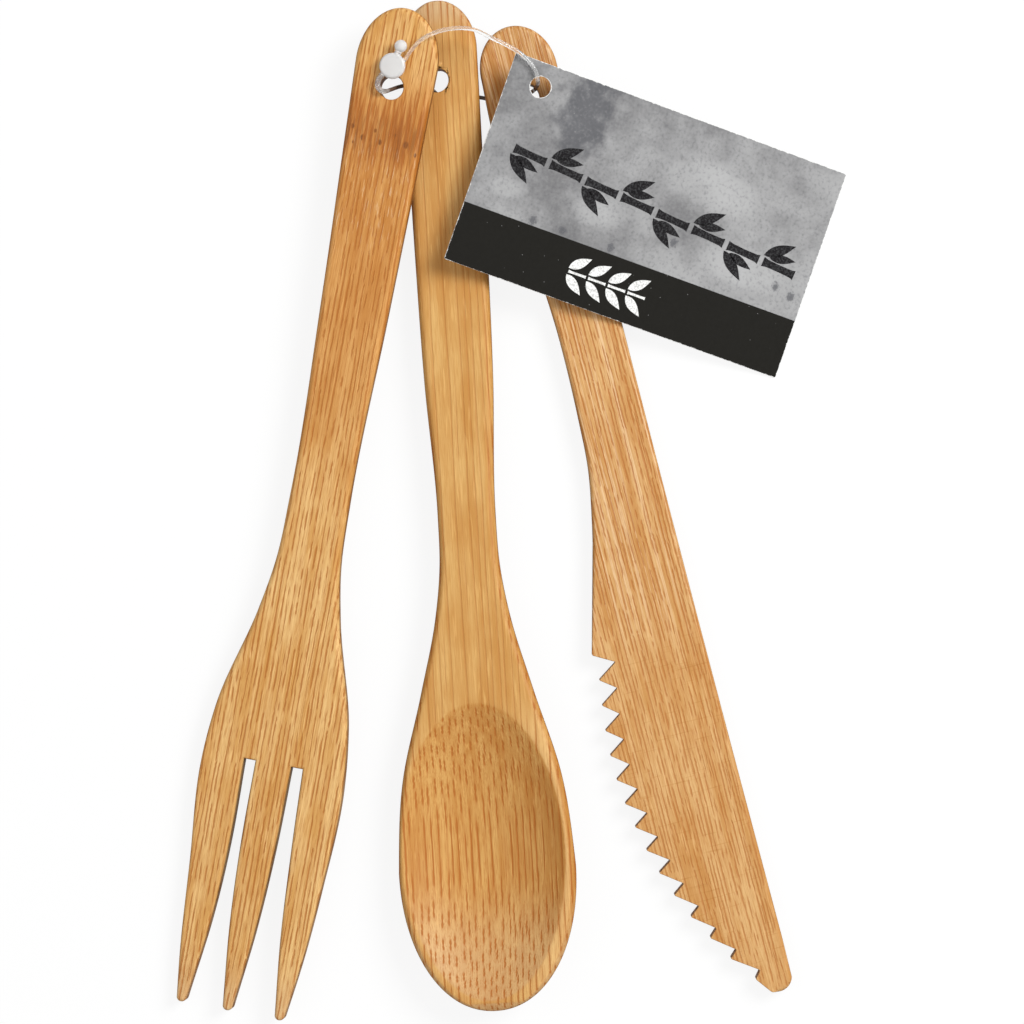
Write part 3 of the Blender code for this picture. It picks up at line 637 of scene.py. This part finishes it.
def fork_outline():
    """The fork's ring, and how far its edges are rounded at each point."""
    end = FORK_END_WIDTH / 2
    neck = FORK_NECK_WIDTH / 2
    head = FORK_HEAD_WIDTH / 2
    root = FORK_LENGTH - TINE_LENGTH
    tip = FORK_LENGTH - TINE_TIP_RADIUS
    slim = root - 0.053
    side = (
        (FORK_END_ROUND, end),
        (0.030, neck + 0.77 * (end - neck)),
        (0.060, neck + 0.38 * (end - neck)),
        (slim, neck),
        (root - 0.040, neck + 0.06 * (head - neck)),
        (root - 0.030, neck + 0.26 * (head - neck)),
        (root - 0.010, neck + 0.86 * (head - neck)),
        (root + 0.003, head),
        (root + 0.022, head - 0.0010),
        (root + 0.040, head - 0.0024),
        (tip, TINE_SPREAD + TINE_TIP_RADIUS),
    )
    slot = MIDDLE_TINE_WIDTH / 2 + SLOT_WIDTH
    inner = (
        (root, slot),
        (root + 0.016, slot + 0.00025),
        (root + 0.033, slot + 0.0012),
        (tip, TINE_SPREAD - TINE_TIP_RADIUS),
    )
    middle = (
        (root, MIDDLE_TINE_WIDTH / 2),
        (root + 0.016, MIDDLE_TINE_WIDTH / 2 - 0.00015),
        (root + 0.033, MIDDLE_TINE_WIDTH / 2 - 0.0010),
        (tip, TINE_TIP_RADIUS),
    )
    handle = np.linspace(FORK_END_ROUND, slim, 40)[1:]
    spread = np.linspace(slim, tip, 90)[1:]
    tine = np.linspace(tip, root, 44)
    parts = [arc((0, FORK_END_ROUND), (end, -FORK_END_ROUND), 90, 0, 24)]
    parts += [np.column_stack((smooth(side, at), at)) for at in (handle, spread)]
    parts.append(arc((TINE_SPREAD, tip), (TINE_TIP_RADIUS, TINE_TIP_RADIUS), 0, 180, 12)[1:-1])
    parts.append(np.column_stack((smooth(inner, tine), tine)))
    parts.append(np.column_stack((smooth(middle, tine[::-1]), tine[::-1])))
    parts.append(arc((0, tip), (TINE_TIP_RADIUS, TINE_TIP_RADIUS), 0, 90, 6)[1:])
    half = np.concatenate(parts)
    ring = np.concatenate((half, half[-2:0:-1] * (-1, 1)))[::-1]
    edge = np.interp(ring[:, 1], (root - 0.02, root), (FORK_EDGE, TINE_EDGE))
    bend = ((0, 0), (0.062, 0.0002), (0.107, -0.0001), (0.150, 0.0), (0.170, 0.0003),
            (FORK_LENGTH, -0.0001))
    in_middle = (ring[:, 1] > root) & (np.abs(ring[:, 0]) < slot - SLOT_WIDTH / 2)
    lean = np.where(in_middle, TINE_LEAN * (root - ring[:, 1]) / TINE_LENGTH, smooth(bend, ring[:, 1]))
    return np.column_stack((ring[:, 0] + lean, FORK_HOLE_INSET - ring[:, 1])), edge


FORK_TISSUE = ((0.785, 0.505, 0.205), (0.595, 0.300, 0.078))
HANDLE_TINT = (0.84, 0.68, 0.52)
SCRATCH = (0.86, 0.66, 0.42)
TIP_GREY = (0.60, 0.43, 0.28)
KNOT = (0.34, 0.100, 0.013)
KNOT_DARK = (0.19, 0.058, 0.011)
SLOT_DARK = (0.050, 0.018, 0.006)
KNOT_SPECKS = ((-6.2, -8.7, 0.8), (-3.9, -10.6, 1.1), (-1.6, -8.9, 0.7), (-0.4, -11.0, 1.0),
               (2.3, -9.2, 0.8), (4.8, -10.7, 1.2), (7.0, -12.4, 0.7), (-5.6, -11.8, 0.6))


def fork_marks(wood, color, strength):
    """The warmer handle, the knot's dark band below the hole with its specks, the greyer tips, and the slots'
    walls, coloured dark as the photograph shows them.
    """
    handle = wood.times(wood.between(wood.y, -95.0, -45.0), wood.between(wood.y, 9.0, -4.0))
    color = wood.tinted(handle, color, HANDLE_TINT)
    streaks = wood.clouds(0.55, 9.0, 31.0, 3.0)
    along = wood.plus(wood.y, wood.times(wood.minus(streaks, 0.5), 17.0))
    band = wood.times(wood.between(along, -19.0, -11.0), wood.between(along, 0.0, -5.5))
    grain = wood.between(wood.clouds(0.42, 8.0, 37.0), 0.36, 0.62, 0.02, 0.92)
    color = wood.mix(wood.times(band, grain), color, KNOT)
    deep = wood.times(wood.between(along, -13.0, -9.5), wood.between(along, -4.5, -7.0))
    color = wood.mix(wood.times(deep, wood.between(streaks, 0.42, 0.62, 0.05, 0.60)), color, KNOT_DARK)
    for across, down, size in KNOT_SPECKS:
        u = wood.over(wood.minus(wood.x, across), 0.40 * size)
        v = wood.over(wood.minus(wood.y, down), 0.60 * size)
        far = wood.far(u, v)
        far = wood.plus(far, wood.times(wood.minus(streaks, 0.5), 1.2))
        color = wood.mix(wood.between(far, 1.25, 0.60, 0.0, 0.90), color, tuple(0.8 * c for c in KNOT_DARK))
    scratches = wood.times(wood.between(wood.y, -36.0, -28.0), wood.between(wood.y, -9.0, -14.0))
    light = wood.between(wood.clouds(0.22, 3.2, 41.0), 0.58, 0.72, 0.0, 0.45)
    color = wood.mix(wood.times(scratches, light), color, SCRATCH)
    tips = wood.between(wood.y, -172.0, -185.0)
    color = wood.mix(wood.times(tips, 0.30), color, TIP_GREY)
    slots = wood.between(wood.size(wood.x), 7.6, 6.6)
    slots = wood.times(slots, wood.between(wood.y, -130.0, -134.0))
    slots = wood.times(slots, wood.between(wood.y, -176.0, -150.0, 0.35, 1.0))
    reach = wood.plus(WALL_SHADE_REACH, wood.times(slots, 0.45))
    return color, strength, wood.mix(slots, CUT_WALL_AND_SHADE, SLOT_DARK), reach


fork_ring, fork_edge = fork_outline()
hole_ring = circle(HOLE_DIAMETER)
fork_board = plank((fork_ring, hole_ring), (fork_edge, np.full(len(hole_ring), HOLE_EDGE)), PLANK)
fork = add_piece("bamboo_fork", fork_board)
swings = {joint["name"]: joint["pos_m"] for joint in frame["joints"]}
fork_place = swings["fork_swing"]
fork.data.materials.append(bamboo(
    "fork_bamboo", fork_place, FORK_TURN, FORK_TISSUE, fork_marks,
    seed=11.0, spacing=0.95, wander=3.2, run=11.0, strength=1.10))
fork_laid = put_down(fork, fork_place, FORK_TURN, "fork", "fork")


# The knife is one bamboo plank of 4 mm with a straight, rounded back. The teeth are sawn into its edge and
# left crisp, the handle is sanded round, and the nose is cut short.
KNIFE_LENGTH = 0.1990
KNIFE_HOLE_INSET = 0.0144
KNIFE_HOLE_TO_SPINE = 0.0073
KNIFE_END_ROUND = 0.0090
KNIFE_END_WIDTH = 0.0153
KNIFE_GRIP_WIDTH = 0.0132
SPINE_HOLLOW = 0.0004
BLADE_WIDTH = 0.0241
HEEL_FROM_TIP = 0.0740
NOSE_RADIUS = 0.0030
KNIFE_EDGE = 0.0009
TOOTH_EDGE = 0.00015
TOOTH_COUNT = 13
TOOTH_PITCH = 0.00511
TOOTH_ROUND = 0.0003
KNIFE_TURN = (0.34197, 0.0, 14.48)


def soften(points, reach):
    """Cuts each corner of a path of points back to a small round."""
    out = []
    for before, corner, after in zip(points, points[1:], points[2:]):
        start = corner + (before - corner) * min(0.4, reach / np.linalg.norm(before - corner))
        stop = corner + (after - corner) * min(0.4, reach / np.linalg.norm(after - corner))
        for t in np.linspace(0, 1, 5):
            out.append((1 - t) ** 2 * start + 2 * t * (1 - t) * corner + t * t * stop)
    return out


def saw_teeth(heel):
    """The toothed edge from the heel to the last notch, as (distance, depth from the spine) points."""
    tips = ((0.0051, 0.0016), (0.0173, 0.0001), (0.0251, 0), (0.0350, 0.0012), (0.0452, 0.0036),
            (0.0554, 0.0076), (0.0654, 0.0132))
    roots = ((0.0024, 0.0057), (0.0125, 0.0040), (0.0225, 0.0034), (0.0328, 0.0043), (0.0431, 0.0064),
             (0.0535, 0.00965), (0.0639, 0.0148), (0.0688, 0.0182))
    points = []
    for i in range(TOOTH_COUNT + 1):
        notch = roots[0][0] + i * TOOTH_PITCH
        points.append(np.array((heel + notch, BLADE_WIDTH - smooth(roots, notch))))
        if i < TOOTH_COUNT:
            point = notch + 0.0027 - 0.0012 * i / (TOOTH_COUNT - 1)
            points.append(np.array((heel + point, BLADE_WIDTH - smooth(tips, point))))
    return points


def knife_outline():
    """The knife's ring, and how far its edges are rounded at each point."""
    half_end = KNIFE_END_WIDTH / 2
    heel = KNIFE_LENGTH - HEEL_FROM_TIP
    grip = (
        (KNIFE_END_ROUND, KNIFE_END_WIDTH),
        (0.0200, KNIFE_END_WIDTH + 0.0005),
        (0.0320, KNIFE_END_WIDTH - 0.0001),
        (heel - 0.062, KNIFE_GRIP_WIDTH),
        (heel - 0.046, KNIFE_GRIP_WIDTH + 0.0003),
        (heel - 0.036, KNIFE_GRIP_WIDTH + 0.0009),
        (heel - 0.026, BLADE_WIDTH - 0.0082),
        (heel, BLADE_WIDTH - 0.0015),
    )
    straight = np.linspace(KNIFE_END_ROUND, heel - 0.062, 30)[1:]
    curved = heel - np.arange(0.0605, 0.020, -0.0015)
    at = np.concatenate((straight, curved))
    end = arc((KNIFE_END_ROUND, half_end), (-KNIFE_END_ROUND, -half_end), 90, -90, 36)
    teeth = saw_teeth(heel)
    tip = KNIFE_LENGTH
    nose = [np.array(p) for p in ((tip - 0.0036, 0.0072), (tip - 0.0004, 0.0048))]
    corners = [np.array((heel, BLADE_WIDTH - 0.0015))] + teeth + nose
    path = [np.array((at[-1], smooth(grip, at[-1])))] + corners + [np.array((tip, NOSE_RADIUS + 0.0010))]
    outline = [*end, *np.column_stack((at, smooth(grip, at))), *soften(path, TOOTH_ROUND)]
    outline += list(arc((tip - NOSE_RADIUS, NOSE_RADIUS), (NOSE_RADIUS, -NOSE_RADIUS), -20, 75, 10))
    hollow = np.linspace(0, math.pi, 41)
    spine = np.linspace(tip - 0.010, KNIFE_END_ROUND, 41)[:-1]
    outline += list(np.column_stack((spine, SPINE_HOLLOW * np.sin(hollow[:-1]))))
    ring = np.array(outline)
    teeth_zone = (ring[:, 0] > heel - 0.002) & (ring[:, 1] > 0.004)
    edge = np.where(teeth_zone, TOOTH_EDGE, KNIFE_EDGE)
    across = KNIFE_HOLE_TO_SPINE - ring[:, 1]
    along = KNIFE_HOLE_INSET - ring[:, 0]
    return np.column_stack((across, along)), edge


KNIFE_TISSUE = ((0.675, 0.415, 0.175), (0.525, 0.258, 0.074))
GRIP_END_TINT = (0.86, 0.80, 0.72)
SAW_LINE = (0.80, 0.68, 0.52)
PALE_GRIP = (0.86, 0.64, 0.40)


def knife_marks(wood, color, strength):
    """The blade's faint saw lines across the grain, the grip's sharp pale grain and its darker end."""
    color = wood.tinted(wood.between(wood.y, -16.0, 2.0), color, GRIP_END_TINT)
    lines = wood.between(wood.clouds(7.0, 0.30, 43.0, 3.0), 0.60, 0.70)
    blade = wood.between(wood.y, -100.0, -118.0)
    color = wood.tinted(wood.times(lines, blade, 0.55), color, SAW_LINE)
    grip = wood.between(wood.clouds(0.30, 45.0, 47.0, 1.0), 0.52, 0.66)
    grip = wood.times(grip, wood.between(wood.y, -118.0, -95.0), 0.45)
    color = wood.mix(grip, color, PALE_GRIP)
    faint = wood.between(wood.y, -125.0, -95.0, 1.0, 1.15)
    return color, wood.times(faint, strength), CUT_WALL_AND_SHADE, WALL_SHADE_REACH


knife_ring, knife_edge = knife_outline()
knife_board = plank((knife_ring, hole_ring), (knife_edge, np.full(len(hole_ring), HOLE_EDGE)), PLANK)
knife = add_piece("bamboo_knife", knife_board)
knife_place = swings["knife_swing"]
knife.data.materials.append(bamboo(
    "knife_bamboo", knife_place, KNIFE_TURN, KNIFE_TISSUE, knife_marks,
    seed=29.0, spacing=0.80, wander=2.4, run=7.0, strength=0.85))
knife_laid = put_down(knife, knife_place, KNIFE_TURN, "knife", "knife")


# The tag is one punched piece of thick card. It is printed grey like worn concrete beside a black band, its
# cut edges show the white core, its back is plain, and its far edge is cut with a perforating rule.
TAG_LENGTH = 0.0707
TAG_WIDTH = 0.0430
TAG_THICKNESS = 0.00045
TAG_HOLE_DIAMETER = 0.0042
TAG_HOLE_FROM_END = 0.0068
TAG_HOLE_FROM_TOP = 0.0048
TAG_CORNER = 0.0004
TAG_EDGE = 0.00006
TAG_TURN = (9.50779, 0.0, 70.70001)
TOOTHED_PITCH = 0.0005
TOOTHED_DEPTH = 0.00007
BAND = 0.0120
CONCRETE = (0.176, 0.175, 0.178)
CONCRETE_DARK = (0.098, 0.099, 0.108)
CONCRETE_PALE = (0.46, 0.46, 0.46)
BAND_BLACK = (0.0115, 0.0108, 0.0090)
CARD_WHITE = (0.80, 0.80, 0.78)
DARK_PATCH = ((-1.8, -10.4), (9.5, 5.5))
PALE_PATCHES = (((-20.7, -0.4), (2.2, 4.0)), ((-19.7, -18.8), (3.0, 4.5)),
                ((-7.1, -39.4), (5.0, 11.0)), ((-20.0, -50.0), (4.0, 9.0)))
SMUDGES = ((-19.9, -35.5), (-21.1, -57.8), (-22.0, -61.3), (-25.1, -13.6), (-25.2, -7.3), (-25.0, -23.8))
SMUDGE_REACH = (0.9, 0.8)
CARD_SHINE = 0.06
PRINT_DEPTH = 0.000012
FIBRES_DEPTH = 0.00001


def tag_outline():
    """The card's ring. The edge away from the hole is cut in fine teeth."""
    right, left = TAG_HOLE_FROM_TOP, TAG_HOLE_FROM_TOP - TAG_WIDTH
    top, low = TAG_HOLE_FROM_END, TAG_HOLE_FROM_END - TAG_LENGTH
    ring = []
    for x, y, start in ((right, top, 0), (left, top, 90), (left, low, 180), (right, low, 270)):
        center = (x - math.copysign(TAG_CORNER, x), y - math.copysign(TAG_CORNER, y))
        ring += list(arc(center, (TAG_CORNER, TAG_CORNER), start, start + 90, 6))
        if start == 90:
            teeth = np.arange(top - 2 * TAG_CORNER, low + 2 * TAG_CORNER, -TOOTHED_PITCH / 2)
            ring += [np.array((left + TOOTHED_DEPTH * (i % 2), y)) for i, y in enumerate(teeth)]
    return np.array(ring)


def patch(card, middle, reach, ragged):
    """1 inside a soft ragged patch of the print."""
    across = card.over(card.minus(card.x, middle[0]), reach[0])
    along = card.over(card.minus(card.y, middle[1]), reach[1])
    far = card.far(across, along)
    return card.between(card.plus(far, ragged), 1.25, 0.55)


def tag_print():
    """The card's printed face: mottled grey with patches and smudges, the black band and worn edges."""
    card = Finish("tag_print", tag_place, TAG_TURN)
    fine = card.clouds(0.62, 0.62, 5.0, 8.0)
    mottle = card.clouds(3.4, 3.4, 9.0, 5.0)
    broad = card.clouds(15.0, 15.0, 13.0)
    tone = card.plus(card.times(mottle, 0.30), card.times(broad, 0.70))
    tone = card.plus(tone, card.between(card.y, -14.0, -60.0, 0.0, 0.10))
    color = card.mix(card.between(tone, 0.34, 0.72, 0.02, 0.62), CONCRETE, CONCRETE_PALE)
    ragged = card.times(card.minus(mottle, 0.5), 1.5)
    color = card.mix(card.times(patch(card, *DARK_PATCH, ragged), 0.82), color, CONCRETE_DARK)
    for middle, reach in PALE_PATCHES:
        color = card.mix(card.times(patch(card, middle, reach, ragged), 0.50), color, CONCRETE_PALE)
    splash = card.times(card.minus(fine, 0.5), 3.0)
    for middle in SMUDGES:
        color = card.mix(card.times(patch(card, middle, SMUDGE_REACH, splash), 0.8), color, CONCRETE_DARK)
    color = card.mix(card.between(fine, 0.48, 0.78, 0.0, 0.42), color, CONCRETE_DARK)
    color = card.mix(card.between(fine, 0.52, 0.22, 0.0, 0.16), color, CONCRETE_PALE)

    left, right = (TAG_HOLE_FROM_TOP - TAG_WIDTH) * 1000, TAG_HOLE_FROM_TOP * 1000
    low, top = (TAG_HOLE_FROM_END - TAG_LENGTH) * 1000, TAG_HOLE_FROM_END * 1000
    line = left + BAND * 1000
    color = card.mix(card.between(card.x, line + 0.06, line - 0.06), color, BAND_BLACK)
    speck_u, speck_v = card.nearest(card.over(card.x, 4.3), card.over(card.y, 4.3), 1.0)
    speck = card.plus(card.size(speck_u), card.size(speck_v))
    speck = card.times(card.between(speck, 0.035, 0.012), card.between(broad, 0.42, 0.60, 0.0, 0.4))
    color = card.mix(speck, color, CONCRETE_PALE)

    near = card.least(card.minus(card.x, left), card.minus(right, card.x))
    ends = card.least(card.minus(card.y, low), card.minus(top, card.y))
    near = card.least(near, ends)
    out = card.far(card.x, card.y)
    near = card.least(near, card.minus(out, TAG_HOLE_DIAMETER * 500 + 0.06))
    worn = card.plus(near, card.times(card.minus(fine, 0.5), 0.5))
    color = card.mix(card.between(worn, 0.10, 0.0), color, CARD_WHITE)
    card.look("Base Color", color)
    card.look("Roughness", card.between(fine, 0.3, 0.7, 0.52, 0.66))
    card.look("Specular IOR Level", CARD_SHINE)
    card.raised(fine, PRINT_DEPTH)
    return card.material


def tag_plain(name, color, dark):
    """Card or ink of one colour, with its fibres and worn spots."""
    card = Finish(name, tag_place, TAG_TURN)
    fibres = card.clouds(0.35, 0.35, 3.0, 4.0)
    card.look("Base Color", card.mix(card.between(fibres, 0.42, 0.68), color, dark))
    card.look("Roughness", 0.7)
    card.look("Specular IOR Level", CARD_SHINE)
    card.raised(fibres, FIBRES_DEPTH)
    return card.material


INK_DARK = ((0.011, 0.010, 0.011), (0.045, 0.045, 0.047))
INK_WHITE = ((0.82, 0.82, 0.80), (0.52, 0.52, 0.51))
INK_LOW = TAG_THICKNESS - 0.000004
INK_TOP = TAG_THICKNESS + 0.000010
CANE_START = (-0.0130, 0.0012)
CANE_STEP = (-0.00060, -0.0078)
CANE_JOINTS = 8
CANE_HALF = 0.00085
CANE_LEAF = (0.0068, 0.0022)
SPRIG_START = (-0.0322, -0.0172)
SPRIG_STEP = (0.0, -0.0042)
SPRIG_JOINTS = 4
SPRIG_HALF = 0.00028
SPRIG_LEAF = (0.0050, 0.0019)


def leaf(foot, angle, long, wide):
    """A leaf's ring from its foot: pointed at both ends and widest nearer the foot."""
    t = np.linspace(0, 1, 13)
    half = wide / 2 * np.sin(np.pi * t ** 0.8)
    ring = np.concatenate((np.column_stack((t * long, -half)), np.column_stack((t * long, half))[-2:0:-1]))
    turn = math.radians(angle)
    spin = np.array(((math.cos(turn), math.sin(turn)), (-math.sin(turn), math.cos(turn))))
    return ring @ spin + foot


def ink(name, rings, finish):
    """A thin film of ink in the shape of some rings, on the card's face."""
    bm = bmesh.new()
    for ring in rings:
        lower = [bm.verts.new((x, y, INK_LOW)) for x, y in ring]
        upper = [bm.verts.new((x, y, INK_TOP)) for x, y in ring]
        bm.faces.new(upper)
        bm.faces.new(lower[::-1])
        wrap(bm, (lower, upper))
    film = add_piece(name, bm)
    film.data.materials.append(finish)
    film.data.transform(tag_laid)
    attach(film, "tag")


def cane(start, step, joints, half, leaf_size, pairs):
    """A plain cane of short lengths with stencil gaps and leaves at each joint, in pairs or by turns."""
    step = np.array(step)
    way = step / np.linalg.norm(step)
    side = np.array((-way[1], way[0]))
    heading = math.degrees(math.atan2(way[1], way[0]))
    long, wide = leaf_size
    rings = []
    for i in range(joints):
        foot = np.array(start) + i * step
        spots = ((0.04, 1.15), (0.16, 0.9), (0.5, 0.82), (0.84, 0.9), (0.92, 1.15))
        edge = [(foot + step * t + side * half * w) for t, w in spots]
        back = [(foot + step * t - side * half * w) for t, w in spots[::-1]]
        rings.append(np.array(edge + back))
        sides = (1, -1)
        if not pairs:
            sides = (1,) if i % 2 else (-1,)
        for up in sides:
            joint = foot + side * up * (half + 0.0004)
            rings.append(leaf(joint, heading + up * 38, long, wide))
            if not pairs:
                rings.append(leaf(joint + way * 0.0012, heading + up * 14, long * 0.8, wide * 0.8))
    return rings


tag_place = swings["tag_swing"]
tag_rings = (tag_outline(), circle(TAG_HOLE_DIAMETER, 48))
tag_edges = [np.full(len(ring), TAG_EDGE) for ring in tag_rings]
tag = add_piece("card_tag", plank(tag_rings, tag_edges, TAG_THICKNESS, 2))
card_grey = tuple(0.9 * c for c in CARD_WHITE)
tag.data.materials.append(tag_print())
tag.data.materials.append(tag_plain("tag_core", CARD_WHITE, card_grey))
tag.data.materials.append(tag_plain("tag_back", CARD_WHITE, card_grey))
for face in tag.data.polygons:
    face.material_index = 0 if face.normal.z > 0.9 else 2 if face.normal.z < -0.9 else 1
tag_laid = put_down(tag, tag_place, TAG_TURN, "tag", "swing_tag")
cane_rings = cane(CANE_START, CANE_STEP, CANE_JOINTS, CANE_HALF, CANE_LEAF, False)
sprig_rings = cane(SPRIG_START, SPRIG_STEP, SPRIG_JOINTS, SPRIG_HALF, SPRIG_LEAF, True)
ink("tag_cane", cane_rings, tag_plain("dark_ink", *INK_DARK))
ink("tag_sprig", sprig_rings, tag_plain("white_ink", *INK_WHITE))


# The loop is one moulding of milky nylon: a thin filament that ends in a thicker shaft, a flat round head
# that the filament snaps into, and the ball that it is pulled by. It runs through all four holes.
FILAMENT = 0.0008
SHAFT = 0.0011
SHAFT_LENGTH = 0.0060
CLEARANCE = 0.0003
HEAD_DIAMETER = 0.0051
HEAD_HEIGHT = 0.0017
HEAD_EDGE = 0.0005
HEAD_ACROSS = -0.0003
HEAD_ALONG = 0.0041
BALL_DIAMETER = 0.0025
BALL_REACH = 0.0042
BALL_ANGLE = 76.0
NECK_DIAMETER = 0.0014
NYLON_PALE = ((0.98, 0.98, 0.97), (0.93, 0.93, 0.92))
# Painted shade: the dark colour, and the heights below which the filament under the pieces takes it.
NYLON_PAINTED_SHADE = (0.16, 0.10, 0.07)
PAINTED_SHADE_BELOW = (0.0116, 0.0108)
FLOW_DEPTH = 0.000012
CLEARNESS = 0.90
MILKINESS = 0.52
# Painted shade: how much of its clearness the filament loses where it is painted dark.
PAINTED_SHADE_CLEARNESS = 0.6
BALL_WAY = (math.cos(math.radians(BALL_ANGLE)), math.sin(math.radians(BALL_ANGLE)))
BALL_SPOT = (HEAD_ACROSS + BALL_REACH * BALL_WAY[0], HEAD_ALONG + BALL_REACH * BALL_WAY[1])
ROUTE_UNIT = 0.001
ROUTE = (
    (fork_laid, (0.50, 4.60, 5.15), (1.70, 5.40, 5.20), (2.70, 7.40, 5.40), (3.95, 9.40, 5.55),
     (5.50, 10.95, 5.60), (7.30, 12.10, 5.55), (10.80, 13.45, 5.20), (14.25, 13.80, 4.60)),
    (tag_laid, (5.60, 12.60, 1.50), (5.30, 9.20, 1.50), (4.75, 6.20, 1.50), (3.85, 3.95, 1.50),
     (2.70, 2.25, 1.45), (1.30, 1.20, 1.15), (0.50, 0.70, 0.30), (-0.10, 0.60, -0.80)),
    (knife_laid, (1.50, 0.60, 6.20), (0.95, 0.50, 4.60), (0.10, 0.40, 2.50), (-0.90, 0.36, 0.90),
     (-1.50, 0.38, 0.00), (-2.30, 0.48, -0.52), (-3.60, 0.70, -0.68), (-5.45, 1.00, -0.68)),
    (spoon_laid, (9.50, -3.65, -1.57), (7.86, -3.25, -1.41), (5.60, -3.05, -1.22), (3.60, -3.00, -1.05),
     (1.80, -2.85, -0.89), (0.40, -2.55, -0.76), (-0.55, -2.10, -0.64), (-1.12, -1.55, -0.35),
     (-1.38, -1.18, 0.50), (-1.52, -0.92, 1.80), (-1.60, -0.68, 3.20), (-1.60, -0.40, 4.55),
     (-1.86, -0.16, 5.40), (-2.60, 0.04, 5.68), (-3.60, 0.16, 5.72)),
    (fork_laid, (3.60, 1.85, -0.75), (2.35, 1.30, -0.66), (1.50, 0.90, -0.15), (1.05, 0.60, 0.70),
     (0.45, 0.06, 2.20), (-0.20, -0.55, 3.80), (-0.90, -1.00, 4.70), (-1.65, -1.05, 5.12),
     (-2.40, -0.45, 5.15), (-2.62, 0.60, 5.15), (-2.25, 1.70, 5.15), (-1.55, 2.70, 5.15),
     (-0.90, 3.50, 5.15)),
)


def tube(path, radii, sides):
    """A round bar of changing radius along a path of points."""
    path = np.array(path, float)
    along = np.gradient(path, axis=0)
    along /= np.linalg.norm(along, axis=1)[:, None]
    across = np.cross(along[0], (0.0, 0.0, 1.0) if abs(along[0][2]) < 0.9 else (1.0, 0.0, 0.0))
    turn = np.linspace(0, 2 * math.pi, sides, endpoint=False)
    bm = bmesh.new()
    rings = []
    for point, way, radius in zip(path, along, radii):
        across -= way * np.dot(across, way)
        across /= np.linalg.norm(across)
        up = np.cross(way, across)
        spokes = np.outer(np.cos(turn), across) + np.outer(np.sin(turn), up)
        rings.append([bm.verts.new(point + radius * spoke) for spoke in spokes])
    wrap(bm, rings)
    bm.faces.new(rings[0])
    bm.faces.new(rings[-1])
    return bm


def loop_filament():
    """The filament and its shaft along their route."""
    points = np.array([laid @ (Vector(point) * ROUTE_UNIT) for laid, *leg in ROUTE for point in leg])
    steps = np.linalg.norm(np.diff(points, axis=0), axis=1)
    distance = np.concatenate(((0.0,), np.cumsum(steps)))
    at = np.interp(np.linspace(0, len(points) - 1, (len(points) - 1) * 6 + 1), range(len(points)), distance)
    path = np.column_stack([smooth(np.column_stack((distance, c)), at) for c in points.T])
    left = distance[-1] - at
    radii = np.interp(left, (SHAFT_LENGTH - 0.001, SHAFT_LENGTH + 0.001), (SHAFT / 2, FILAMENT / 2))
    return tube(path, radii, 18)


def loop_ends():
    """The head and the ball, drawn in the fork's frame."""
    edge = np.full(64, HEAD_EDGE)
    head = plank((circle(HEAD_DIAMETER)[::-1],), (edge,), HEAD_HEIGHT)
    bmesh.ops.translate(head, vec=(HEAD_ACROSS, HEAD_ALONG, PLANK + CLEARANCE), verts=head.verts)
    ball = BALL_DIAMETER / 2
    middle = Vector((HEAD_ACROSS, HEAD_ALONG, PLANK + CLEARANCE + HEAD_HEIGHT / 2))
    centre = Vector((*BALL_SPOT, PLANK + CLEARANCE + ball))
    slant = (centre - middle).normalized()
    meet = math.asin(NECK_DIAMETER / BALL_DIAMETER)
    turns = np.linspace(meet, math.radians(176), 24)
    stations = [middle] + [centre - slant * ball * math.cos(t) for t in turns]
    sizes = [NECK_DIAMETER / 2] + [ball * math.sin(t) for t in turns]
    return head, tube(stations, sizes, 32)


def nylon():
    """Nylon with faint flow lines: milky where it is thick and clear along the filament. Below the pieces'
    tops it is coloured dark and made less clear, as painted shade where it runs under the wood. The real
    nylon is one colour.
    """
    cast = Finish("loop_nylon", fork_place, FORK_TURN)
    flow = cast.clouds(1.6, 1.6, 4.0)
    thick = 0.0
    for x, y, reach in ((HEAD_ACROSS, HEAD_ALONG, HEAD_DIAMETER / 2), (*BALL_SPOT, BALL_DIAMETER / 2)):
        u, v = cast.minus(cast.x, x * 1000), cast.minus(cast.y, y * 1000)
        far = cast.far(u, v)
        thick = cast.sum("MAXIMUM", thick, cast.between(far, reach * 1000 + 0.3, reach * 1000))
    # Painted shade: below the pieces' tops the filament is coloured dark and made less clear.
    height = cast.parts(cast.spot.outputs["Object"])[2]
    shade = cast.between(height, *PAINTED_SHADE_BELOW)
    color = cast.mix(flow, *NYLON_PALE)
    cast.look("Base Color", cast.mix(shade, color, NYLON_PAINTED_SHADE))
    cast.look("Roughness", cast.between(flow, 0.3, 0.7, 0.10, 0.24))
    clear = cast.times(cast.minus(1.0, cast.times(thick, MILKINESS)), CLEARNESS)
    clear = cast.times(clear, cast.minus(1.0, cast.times(shade, PAINTED_SHADE_CLEARNESS)))
    cast.look("Transmission Weight", clear)
    cast.look("IOR", 1.45)
    cast.raised(flow, FLOW_DEPTH)
    return cast.material


loop = add_piece("snap_loop", loop_filament())
ends = [add_piece(f"loop_end_{i}", bm) for i, bm in enumerate(loop_ends())]
for end in ends:
    end.matrix_world = fork_laid
    joined = loop.modifiers.new(end.name, "BOOLEAN")
    joined.object = end
    joined.operation = "UNION"
    joined.solver = "EXACT"
bpy.context.view_layer.update()
worked(loop, ends)
loop.data.materials.clear()
loop.data.materials.append(nylon())
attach(loop, "spoon_and_loop")
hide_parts("loop_fastener")
